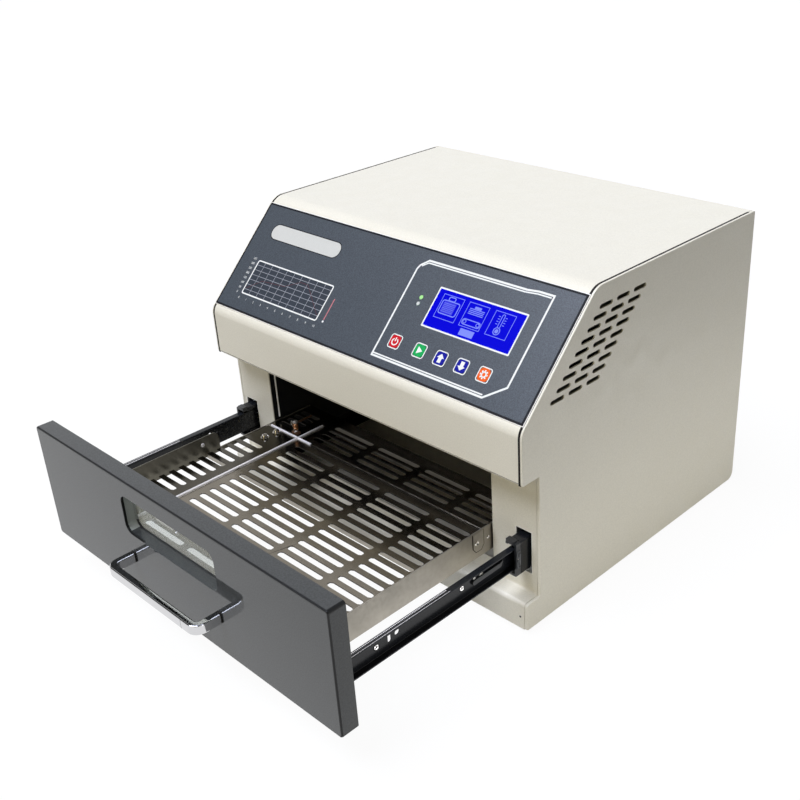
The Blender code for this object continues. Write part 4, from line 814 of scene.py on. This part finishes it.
def window_bead():
    """A painted dark reflection along the front edge of the window's left side and lower left
    corner.
    """
    path = [(WINDOW_EDGE_LEFT + along, WINDOW_EDGE_HIGH - down) for along, down in WINDOW_EDGE_TOP]
    path += turn((WINDOW_EDGE_LEFT + WINDOW_EDGE_CORNER, WINDOW_EDGE_LOW + WINDOW_EDGE_CORNER), WINDOW_EDGE_CORNER, 180, 270, 8)
    path += [(WINDOW_EDGE_LEFT + WINDOW_EDGE_LENGTH, WINDOW_EDGE_LOW)]
    outer = offset(path, -WINDOW_EDGE_OUT, False)
    inner = [(x + WINDOW_EDGE_WIDTH, z + WINDOW_EDGE_OUT) for x, z in path[:-1]] + [path[-1]]
    shape = (outer + inner[::-1], DRAWER_FACE - HAIR, DRAWER_FACE + WINDOW_EDGE_DEPTH)
    plates("window_bead", [shape], DARK_EDGE_REFLECTION, body_of("drawer_front"), front_on)


def handle_seams():
    """Where the handle's arms meet the front, and the joint in its bar."""
    low, high = [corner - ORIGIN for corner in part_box("handle")]
    shapes = []
    for left in (low.x, high.x - ARM_THICK):
        end = grown((left, left + ARM_THICK, low.z, high.z), HAIR)
        shapes.append((round_box(*end, ARM_CORNER), high.y - ARM_SEAM, high.y))
    joint = rectangle(*BAR_JOINT, low.z + BAR_JOINT_INSET, high.z - BAR_JOINT_INSET)
    shapes.append((joint, low.y - SKIN, low.y + BAR_JOINT_DEPTH))
    plates("handle_seams", shapes, SEAM_SHADOW, body_of("handle"), front_on)


def cabinet_seams():
    """The dark joint between each side panel and the cover, over nose, slope and top."""
    slope_top = NOSE_FACE + CABINET_TOP - NOSE_TOP
    path = bent([(NOSE_FACE, SEAM_START, 0), (NOSE_FACE, NOSE_TOP, NOSE_BEND),
                 (slope_top, CABINET_TOP, TOP_BEND), (REAR_FACE, CABINET_TOP, REAR_BEND),
                 (REAR_FACE, SEAM_END, 0)], 8)
    line = [(y, min(z, CABINET_TOP + SKIN))
            for y, z in stroke(offset(path, -SEAM_SINK, False), SEAM_THICK)]
    for word, side in SIDES:
        left, right = on_side(side, (SEAM_AT, SEAM_AT + SEAM_WIDTH))
        plates("panel_seam_" + word, [(line, left, right)], SEAM_SHADOW, "cabinet", side_on)
    joint = rectangle(-SEAM_AT, SEAM_AT, NOSE_SEAM, NOSE_SEAM + NOSE_SEAM_HEIGHT)
    shape = (joint, NOSE_FACE - HAIR, NOSE_FACE + NOSE_SEAM_DEPTH)
    plates("nose_seam", [shape], SEAM_SHADOW, "cabinet", front_on)


def cut_edges():
    """Painted highlights in pale cream round the slide openings and at the chamber's left edge.
    """
    bm = bmesh.new()
    for _, side in SIDES:
        opening = (*on_side(side, SLIDE_OPENING_X), *SLIDE_OPENING_Z)
        outer = rectangle(*grown(opening, HIGHLIGHT_WIDTH))
        band(bm, outer, rectangle(*opening), -HAIR, HIGHLIGHT_DEPTH, front_on)
    piece("slide_opening_edges", bm, EDGE_HIGHLIGHT, "cabinet")
    shape = (rectangle(*CHAMBER_EDGE), *CHAMBER_EDGE_Y)
    plates("chamber_edge", [shape], EDGE_HIGHLIGHT, "cabinet", front_on)


def raceways():
    """The toothed strip and the fine bright line along the top of each drawer slide, in
    near-white steel that is a painted highlight.
    """
    count = int((RACEWAY_END - RACEWAY_START) / TOOTH_PITCH)
    for word, side in SIDES:
        line = rectangle(*on_side(side, BRIGHT_LINE_X), RACEWAY_START, RACEWAY_END)
        shapes = [(line, RACEWAY_TOP, RACEWAY_TOP + BRIGHT_LINE_RISE)]
        for i in range(count):
            y = RACEWAY_START + i * TOOTH_PITCH
            tooth = rectangle(*on_side(side, TEETH_X), y, y + TOOTH_SHARE * TOOTH_PITCH)
            shapes.append((tooth, RACEWAY_TOP, RACEWAY_TOP + TOOTH_RISE))
        plates("raceway_" + word, shapes, HIGHLIGHT_STEEL, body_of("slide_inner_" + word), level_on)


def grate_screws():
    """The two screws that hold the plates, and the one in the left wall."""
    body = body_of("tray_frame")
    up = Vector((0, 0, 1))
    heads = [spot(x, y, GRATE_TOP) for x, y in GRATE_SCREWS]
    head = pan_head(washer=0.0045, head=0.0034, rise=GRATE_SCREW_RISE)
    turned("grate_screws", head, heads, up, SLOTS["bright_steel"], body)
    # A black disc on each screw head: painted shade in its driver recess
    recess = flat_disc(RECESS_RADIUS, DISC_THICK)
    tops = [place + up * GRATE_SCREW_RISE for place in heads]
    turned("grate_screw_recesses", recess, tops, up, BLACK_INK_AND_SHADE, body, steps=6)
    small = pan_head(washer=0.0022, head=0.0019, rise=0.0012)
    # The left wall's screw is in near-white steel: painted highlight
    turned("left_wall_screw", small, [spot(*LEFT_SCREW)], (1, 0, 0), HIGHLIGHT_STEEL, body)


def wall_tab():
    """The tab folded over the tray's right wall, with its screw, and the rivet behind it."""
    body = body_of("tray_frame")
    front, rear = TAB_Y
    low, top = TAB_Z
    along, up = TAB_CORNER
    tab = [(front, top), (front, low + up), (front + along, low), (rear - along, low),
           (rear, low + up), (rear, top)]
    outside = TRAY_WALL + TAB_THICK
    plates("wall_tab", [(tab, TRAY_WALL, outside)], SATIN_STEEL, body, side_on)
    edge = (stroke(tab, TAB_EDGE), TRAY_WALL, outside + TAB_EDGE_PROUD)
    plates("wall_tab_edge", [edge], SEAM_SHADOW, body, side_on)
    screw, rivet = spot(outside, *TAB_SCREW), spot(TRAY_WALL, *WALL_RIVET)
    for name, radius, place in (("wall_tab_screw", TAB_SCREW_RADIUS, screw),
                                ("wall_rivet", RIVET_RADIUS, rivet)):
        turned(name, countersunk(radius), [place], (1, 0, 0), SLOTS["bright_steel"], body)


def slide_screws():
    """The screws in the slides' moving members, each in a black ring of painted shade."""
    ring_shape = flat_disc(SLIDE_RING_RADIUS, DISC_THICK)
    head = countersunk(SLIDE_SCREW_RADIUS)
    for word, side in SIDES:
        out = (side, 0, 0)
        places = [spot(side * SLIDE_WEB, y, z) for y, z in SLIDE_SCREWS]
        member = body_of("slide_inner_" + word)
        turned("slide_screws_" + word, head, places, out, SLOTS["bright_steel"], member)
        turned("slide_screw_rings_" + word, ring_shape, places, out, BLACK_INK_AND_SHADE, member)


def probe_wires():
    """The nuts, coil and lead of the temperature probe."""
    low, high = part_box("thermocouple")
    body = body_of("thermocouple")
    x, y = (low.x + high.x) / 2, low.y + PROBE_IN
    nut = [(0, 0), (NUT_RADIUS, 0), (NUT_RADIUS, NUT_SHOULDER), (0.6 * NUT_RADIUS, NUT_HEIGHT),
           (0, NUT_HEIGHT)]
    for name, z, material in (("probe_nut", low.z + NUT_RISE, SLOTS["bright_steel"]),
                              ("probe_top_nut", high.z - TOP_NUT_DROP, SATIN_STEEL)):
        turned(name, nut, [Vector((x, y, z))], (0, 0, 1), material, body, steps=6)
    coil = []
    for i in range(COIL_TURNS * COIL_STEPS + 1):
        turns = i / COIL_STEPS
        a = 2 * math.pi * turns
        coil.append((x + COIL_RADIUS * math.cos(a), y + COIL_RADIUS * math.sin(a),
                     low.z + COIL_RISE + COIL_PITCH * turns))
    wire("probe_coil", coil, COIL_WIRE, COPPER_WIRE, body)
    lead = [Vector((x, y, high.z)) + Vector(step) for step in PROBE_LEAD]
    wire("probe_lead", lead, LEAD_WIRE, SATIN_STEEL, body)


def slide_cap_detail():
    """The step, clip and stud of each slide's end cap. The clip and its tongue stand proud of the
    cap, and their lighter grey is a painted highlight.
    """
    near, far = CAP_X
    for word, side in SIDES:
        body = body_of("slide_cap_" + word)
        left, right = on_side(side, (near, far - CAP_STEP_SHORT))
        step = (round_box(left, right, *CAP_STEP_Y, CAP_STEP_CORNER, 3), *CAP_STEP_Z)
        plates("cap_step_" + word, [step], SLOTS["black_plastic"], body, level_on)
        left, right = on_side(side, (far - CAP_CLIP_SINK, far + CAP_CLIP_PROUD))
        clip = (stroke(CAP_CLIP, CAP_CLIP_WIDTH), left, right)
        tongue = (round_box(*CAP_TONGUE, CAP_TONGUE_CORNER, 3), left, right)
        plates("cap_clip_" + word, [clip, tongue], CLIP_HIGHLIGHT, body, side_on)
        turned("cap_stud_" + word, countersunk(CAP_STUD_RADIUS), [spot(side * far, *CAP_STUD)],
               (side, 0, 0), SATIN_STEEL, body, steps=12)


def plinth_hole():
    """A black disc of painted shade for the small screw hole near the right end of the plinth."""
    turned("plinth_hole", flat_disc(PLINTH_HOLE_RADIUS, PLINTH_HOLE_THICK), [spot(*PLINTH_HOLE)],
           (0, -1, 0), BLACK_INK_AND_SHADE, "cabinet", steps=12)


def support_rods():
    """The two crossed rods, round, in near-white steel that is a painted highlight, the cross rod
    plain stainless right of the crossing.
    """
    low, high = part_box("support_rods")
    x = (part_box("side_grate")[1].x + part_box("main_grate")[0].x) / 2
    y = (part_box("main_grate")[1].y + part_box("rear_grate")[0].y) / 2
    z, radius = (low.z + high.z) / 2, (high.z - low.z) / 2
    dull_from = x + DULL_ROD_FROM
    bm = bmesh.new()
    for start, axis, length in ((Vector((x, low.y, z)), (0, 1, 0), high.y - low.y),
                                (Vector((low.x, y, z)), (1, 0, 0), high.x - low.x)):
        profile = [(0, 0), (0.8 * radius, 0), (radius, ROD_TIP), (radius, dull_from - low.x),
                   (radius, length - ROD_TIP), (0.8 * radius, length), (0, length)]
        lathe(bm, profile, start, axis, 24)
    for face in bm.faces:
        if face.calc_center_median().x > dull_from:
            face.material_index = 1
    rods = piece("support_rods_fine", bm, HIGHLIGHT_STEEL, body_of("support_rods"))
    rods.data.materials.append(SLOTS["stainless"])
    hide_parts("support_rods")


# Control panel

overlay_low, overlay_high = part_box("control_overlay")
PANEL_ORIGIN = Vector(((overlay_low.x + overlay_high.x) / 2, overlay_low.y,
                       overlay_low.z + OVERLAY_THICK * math.cos(SLOPE)))
PANEL_HALF = (overlay_high.x - overlay_low.x) / 2
PANEL_LENGTH = (overlay_high.z - overlay_low.z) / math.sin(SLOPE) - OVERLAY_THICK
UP_SLOPE = Vector((0, math.cos(SLOPE), math.sin(SLOPE)))
OUTWARD = Vector((0, -math.sin(SLOPE), math.cos(SLOPE)))


def panel_point(x, v, n):
    """A point on the panel: across, up the slope and out of the overlay."""
    return PANEL_ORIGIN + Vector((x, 0, 0)) + UP_SLOPE * v + OUTWARD * n


def panel_middle(node):
    """Where the middle of a node lies on the panel, across and up the slope."""
    low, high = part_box(node)
    middle = (low + high) / 2 - PANEL_ORIGIN
    return middle.x, middle.dot(UP_SLOPE)


def ink(name, outlines, material, body="cabinet", level=0.0):
    """Printed shapes on the panel, a hair above it."""
    bm = bmesh.new()
    for outline in outlines:
        slab(bm, outline, level - INK, level + INK, panel_point)
    piece(name, bm, material, body)


def ink_rings(name, rings, material, level=0.0):
    """Printed frame lines, each between two outlines."""
    bm = bmesh.new()
    for outer, inner in rings:
        band(bm, outer, inner, level - INK, level + INK, panel_point)
    piece(name, bm, material, "cabinet")


def ring(box, radius, width, steps=6):
    """The outlines outside and inside of a rounded frame line."""
    inner_radius = max(radius - width, LEAST_RADIUS)
    return (round_box(*box, radius, steps),
            round_box(*grown(box, -width), inner_radius, steps))


def numeral(text, x, v):
    """A printed number, centred on its place."""
    curve = bpy.data.curves.new("numeral", "FONT")
    curve.body = text
    curve.size = NUMERAL
    curve.align_x = "CENTER"
    curve.align_y = "CENTER"
    curve.extrude = INK
    curve.materials.append(WHITE_INK)
    shape = add("numeral_" + text, curve)
    axes = Matrix((Vector((1, 0, 0)), UP_SLOPE, OUTWARD)).transposed()
    shape.matrix_world = Matrix.Translation(panel_point(x, v, 0)) @ axes.to_4x4()
    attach(shape, "cabinet")


def panel_edge():
    """The overlay's black rim, and a painted highlight in pale cream on the sheet's edge round
    it.
    """
    outer = rectangle(-PANEL_HALF, PANEL_HALF, 0, PANEL_LENGTH)
    ink_rings("overlay_edge", [(outer, offset(outer, EDGE_LINE))], BLACK_INK_AND_SHADE)
    near, far = SURROUND
    bm = bmesh.new()
    band(bm, offset(outer, -far), offset(outer, -near), -OVERLAY_THICK, -SURROUND_SINK,
         panel_point)
    piece("overlay_surround", bm, EDGE_HIGHLIGHT, "cabinet")


def temperature_chart():
    """The printed temperature profile, with its grid, numbers and curve."""
    left, right, low, high = CHART
    ink("chart_field", [round_box(*CHART, CHART_CORNER)], CHART_INK)
    ink_rings("chart_border", [ring(CHART, CHART_CORNER, CHART_BORDER)], WHITE_INK, level=INK)
    columns = [left + (right - left) * i / CHART_COLUMNS for i in range(CHART_COLUMNS + 1)]
    rows = [low + (high - low) * i / CHART_ROWS for i in range(CHART_ROWS + 1)]
    near, far, bottom, top = grown(CHART, -CHART_BORDER)
    lines = [stroke([(x, bottom), (x, top)], CHART_LINE) for x in columns[1:-1]]
    lines += [stroke([(near, v), (far, v)], CHART_LINE) for v in rows[1:-1]]
    ink("chart_grid", lines, GREY_INK, level=INK)
    for i, x in enumerate(columns):
        numeral(str(i), x, low - NUMERAL_DROP)
    for i, v in enumerate(rows):
        numeral(str(DEGREES_PER_ROW * i), left - NUMERAL_LEFT, v)
    near, far, bottom, top = grown(CHART, -PROFILE_INSET)
    curve = [(near + (far - near) * a, bottom + (top - bottom) * b) for a, b in PROFILE]
    ink("profile_curve", [stroke(curve, CHART_LINE)], CURVE_INK, level=2 * INK)
    scale = stroke([(SCALE_X, SCALE_LOW), (SCALE_X, SCALE_HIGH)], SCALE_LINE)
    ink("scale_line", [scale], RED_INK)
    ink("scale_dot", [disc(SCALE_X, SCALE_DOT, SCALE_LINE, 12)], WHITE_INK)


def name_strip():
    """The pale strip at the top left is bare."""
    radius = (STRIP[3] - STRIP[2]) / 2 - STRIP_FLAT
    ink("pale_strip", [round_box(*STRIP, radius, 12)], STRIP_INK)
    edge = ring(grown(STRIP, STRIP_EDGE), radius + STRIP_EDGE, STRIP_EDGE, 12)
    ink_rings("pale_strip_edge", [edge], BLACK_INK_AND_SHADE)


def panel_frame():
    """The white line round display and keys, double along its top and bottom."""
    left, right, low, high = FRAME
    cut_across, cut_up = FRAME_CUT
    step_left, step_right, step_drop = FRAME_STEP
    outline = [(left, low), (right - cut_across, low), (right, low + cut_up), (right, high),
               (step_right, high), (step_left, high - step_drop)]
    outline += [(left + along, high - down) for along, down in FRAME_TOP_LEFT]
    ink_rings("panel_frame", [(outline, offset(outline, FRAME_LINE))], WHITE_INK)
    second = [stroke(line, FRAME_SECOND) for line in SECOND_LINES]
    ink("panel_frame_second", second, WHITE_INK)


def display_border():
    """The white line round the display."""
    low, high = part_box("display_window")
    x, v = panel_middle("display_window")
    wide = (high.x - low.x) / 2
    tall = ((high.z - low.z) / math.sin(SLOPE) - DISPLAY_DEPTH) / 2
    inside = (x - wide, x + wide, v - tall, v + tall)
    outer = round_box(*grown(inside, DISPLAY_BORDER), DISPLAY_CORNERS[0], 3)
    inner = round_box(*inside, DISPLAY_CORNERS[1], 3)
    ink_rings("display_border", [(outer, inner)], WHITE_INK)


def level_lines(left, right, start, count, width, pitch):
    """Level strokes one above the other."""
    return [stroke([(left, start + pitch * i), (right, start + pitch * i)], width)
            for i in range(count)]


def case_picture():
    """A hatched case with a handle."""
    rings = [ring(CASE, CASE_CORNER, CASE_LINE), ring(CASE_GRIP, SMALL_CORNER, CASE_LINE)]
    return rings, level_lines(*CASE_HATCH, HATCH_PITCH)


def conveyor_picture():
    """A belt on two wheels with a board over it."""
    rings = [ring(BELT, BELT_CORNER, THICK_LINE)]
    rings += [ring((*wheel, *WHEELS_V), SMALL_CORNER, THIN_LINE) for wheel in WHEELS_X]
    shapes = level_lines(*BELT_HATCH, HATCH_PITCH)
    return rings, shapes + [round_box(*BOARD, 3)]


def thermometer_picture():
    """A thermometer with ticks on both sides."""
    rings = [ring(BULB, BULB_CORNER, THICK_LINE), ring(TUBE, TUBE_CORNER, THIN_LINE)]
    shapes = [disc(*BULB_FILL)]
    for tick in TICKS_X:
        shapes += level_lines(*tick, *TICKS, TICK_PITCH)
    return rings, shapes


def display_pictures():
    """Three boxed pictures on the lit display, and a blank bar under the middle one."""
    boxes = [ring((*stretch, *PICTURES_V), PICTURE_CORNER, PICTURE_LINE, 2)
             for stretch in PICTURES_X]
    ink_rings("display_boxes", boxes, PALE_BLUE)
    rings, shapes = [], []
    for picture in (case_picture, conveyor_picture, thermometer_picture):
        more_rings, more_shapes = picture()
        rings += more_rings
        shapes += more_shapes
    ink_rings("display_icons", rings, PALE_BLUE)
    ink("display_case_fill", [round_box(*CASE_FILL, 3)], MID_BLUE)
    ink("display_shapes", shapes + [round_box(*BLANK_BAR, 2)], PALE_BLUE)


def keys():
    """Each key has a white edge printed round it and a sign that rides on it."""
    signs = {"red": power_sign(), "green": play_sign(), "up": arrow(1), "down": arrow(-1),
             "orange": settings_sign()}
    for name, sign in signs.items():
        low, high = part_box("key_" + name)
        x, v = panel_middle("key_" + name)
        out = (high.x - low.x) / 2 + KEY_BORDER
        box = (x - out, x + out, v - out, v + out)
        edge = ring(box, KEY_CORNER, KEY_BORDER - KEY_GAP)
        ink_rings("key_edge_" + name, [edge], WHITE_INK)
        placed = [[(x + a, v + b) for a, b in outline] for outline in sign]
        ink("key_sign_" + name, placed, WHITE_INK, name + "_key", KEY_PROUD)


def power_sign():
    """An open ring with a bar in its gap."""
    radius, shift, top = 0.0033, 0.0002, 0.0040
    arc = turn((0, -shift), radius, 125, 415, 20)
    return [stroke(arc, SIGN_LINE), stroke([(0, shift), (0, top)], SIGN_LINE)]


def play_sign():
    """A triangle that points right."""
    back, point, half = -0.0025, 0.0036, 0.0036
    return [[(back, -half), (point, 0), (back, half)]]


def arrow(way):
    """An arrow that points up (1) or down (-1)."""
    head, wing, stem, notch = 0.0043, 0.0042, 0.0020, 0.0003
    points = [(0, head), (-wing, notch), (-stem, notch), (-stem, -head), (stem, -head),
              (stem, notch), (wing, notch)]
    return [[(a * way, b * way) for a, b in points]]


def settings_sign():
    """A gear wheel, with its rim in two halves round its hole."""
    near, far, tooth, rim, line = 0.0026, 0.0043, 0.0014, 0.0024, 0.0013
    strokes = []
    for i in range(GEAR_TEETH):
        a = 2 * math.pi * i / GEAR_TEETH
        spoke = [(reach * math.cos(a), reach * math.sin(a)) for reach in (near, far)]
        strokes.append(stroke(spoke, tooth))
    for start in (0, 180):
        strokes.append(stroke(turn((0, 0), rim, start, start + 180, 14), line))
    return strokes


def lamps():
    """A lit and an unlit lamp beside the display."""
    ink("lamp_on", [disc(LAMP_X, *LAMP_ON)], GREEN_LAMP, level=INK)
    ink("lamp_off", [disc(LAMP_X, *LAMP_OFF)], LAMP_LENS, level=INK)


# Light, floor and camera

def studio():
    """A soft key from above, a warm fill from the front, a low side light, and what polished
    pieces mirror: a white backdrop behind the oven and a dim room in front of it."""
    world = bpy.data.worlds.new("studio")
    scene.world = world
    world.use_nodes = True
    nodes, links = world.node_tree.nodes, world.node_tree.links
    place = nodes.new("ShaderNodeTexCoord")
    parts = nodes.new("ShaderNodeSeparateXYZ")
    links.new(place.outputs["Generated"], parts.inputs[0])
    rise = nodes.new("ShaderNodeMath")
    rise.operation = "SUBTRACT"
    links.new(parts.outputs["Y"], rise.inputs[0])
    links.new(parts.outputs["Z"], rise.inputs[1])
    backdrop = nodes.new("ShaderNodeMapRange")
    backdrop.interpolation_type = "SMOOTHSTEP"
    preset(backdrop, {"From Min": -BACKDROP_RISE - BACKDROP_BLUR,
                      "From Max": -BACKDROP_RISE + BACKDROP_BLUR, "To Min": ROOM, "To Max": 1.0})
    links.new(rise.outputs[0], backdrop.inputs["Value"])
    path = nodes.new("ShaderNodeLightPath")
    mirrored = mixed(nodes, links, path.outputs["Is Glossy Ray"], AMBIENT, backdrop.outputs[0])
    seen = any_ray(nodes, links, "Is Camera Ray", "Is Transmission Ray")
    level = mixed(nodes, links, seen, mirrored, 1.0)
    background = nodes["Background"]
    preset(background, {"Color": (1, 1, 1, 1)})
    links.new(level, background.inputs["Strength"])

    for name, strength, colour, start in (("key", KEY_STRENGTH, KEY_COLOUR, KEY_FROM),
                                          ("fill", FILL_STRENGTH, FILL_COLOUR, FILL_FROM)):
        lamp = bpy.data.lights.new(name, "SUN")
        lamp.energy = strength
        lamp.color = colour
        lamp.angle = KEY_ANGLE
        sun = add(name, lamp)
        sun.rotation_euler = start.to_track_quat("Z", "Y").to_euler()

    lamp = bpy.data.lights.new("side", "AREA")
    lamp.energy = SIDE_STRENGTH
    lamp.shape = "RECTANGLE"
    lamp.size = SIDE_LENGTH
    lamp.size_y = SIDE_HEIGHT
    side = add("side", lamp)
    side.location = SIDE_PLACE
    side.rotation_euler = (SIDE_PLACE - SIDE_AIM).to_track_quat("Z", "Y").to_euler()
    side.visible_camera = False


def mixed(nodes, links, share, first, second):
    """The first level where the share is 0 and the second where it is 1."""
    level = nodes.new("ShaderNodeMix")
    links.new(share, level.inputs["Factor"])
    for name, value in (("A", first), ("B", second)):
        if isinstance(value, float):
            level.inputs[name].default_value = value
        else:
            links.new(value, level.inputs[name])
    return level.outputs["Result"]


def any_ray(nodes, links, first, *others):
    """1 for rays of the named kinds, else 0."""
    path = nodes.new("ShaderNodeLightPath")
    value = path.outputs[first]
    for name in others:
        either = nodes.new("ShaderNodeMath")
        either.operation = "MAXIMUM"
        links.new(value, either.inputs[0])
        links.new(path.outputs[name], either.inputs[1])
        value = either.outputs[0]
    return value


def floor():
    """A white floor that keeps a faint shadow and lights the object only softly."""
    material = bpy.data.materials.new("floor")
    material.use_nodes = True
    nodes, links = material.node_tree.nodes, material.node_tree.links
    nodes.remove(nodes["Principled BSDF"])
    glow = nodes.new("ShaderNodeEmission")
    preset(glow, {"Strength": FLOOR_GLOW})
    lit = nodes.new("ShaderNodeBsdfDiffuse")
    preset(lit, {"Color": (*[1 - FLOOR_GLOW] * 3, 1)})
    shown = nodes.new("ShaderNodeAddShader")
    links.new(glow.outputs[0], shown.inputs[0])
    links.new(lit.outputs[0], shown.inputs[1])
    bounce = nodes.new("ShaderNodeBsdfDiffuse")
    preset(bounce, {"Color": (*[FLOOR_BOUNCE] * 3, 1)})
    either = nodes.new("ShaderNodeMixShader")
    seen = any_ray(nodes, links, "Is Camera Ray", "Is Glossy Ray", "Is Transmission Ray")
    links.new(seen, either.inputs[0])
    links.new(bounce.outputs[0], either.inputs[1])
    links.new(shown.outputs[0], either.inputs[2])
    links.new(either.outputs[0], nodes["Material Output"].inputs["Surface"])
    bm = bmesh.new()
    bmesh.ops.create_grid(bm, x_segments=1, y_segments=1, size=FLOOR_SIZE)
    mesh = bpy.data.meshes.new("floor")
    bm.to_mesh(mesh)
    bm.free()
    mesh.materials.append(material)
    ground = add("floor", mesh)


def camera():
    """The camera stands where the photograph was taken from."""
    data = bpy.data.cameras.new("camera")
    data.lens = LENS
    data.sensor_width = SENSOR
    data.shift_x = SHIFT_X
    eye = add("camera", data)
    flat = math.cos(CAMERA_ELEVATION)
    forward = Vector((-math.sin(CAMERA_AZIMUTH) * flat, math.cos(CAMERA_AZIMUTH) * flat,
                      -math.sin(CAMERA_ELEVATION)))
    level = forward.cross(Vector((0, 0, 1))).normalized()
    down = forward.cross(level)
    right = level * math.cos(CAMERA_ROLL) + down * math.sin(CAMERA_ROLL)
    axes = Matrix((right, right.cross(forward), -forward)).transposed()
    eye.matrix_world = Matrix.Translation(CAMERA_PLACE) @ axes.to_4x4()
    scene.camera = eye


for node in sorted(frame["nodes"]):
    if node != "support_rods":
        refined(node, finish_of(node))
support_rods()
window_bead()
handle_seams()
cabinet_seams()
cut_edges()
raceways()
grate_screws()
wall_tab()
slide_screws()
probe_wires()
slide_cap_detail()
plinth_hole()
panel_edge()
temperature_chart()
name_strip()
panel_frame()
display_border()
display_pictures()
keys()
lamps()
studio()
floor()
camera()
scene.view_settings.view_transform = "Standard"
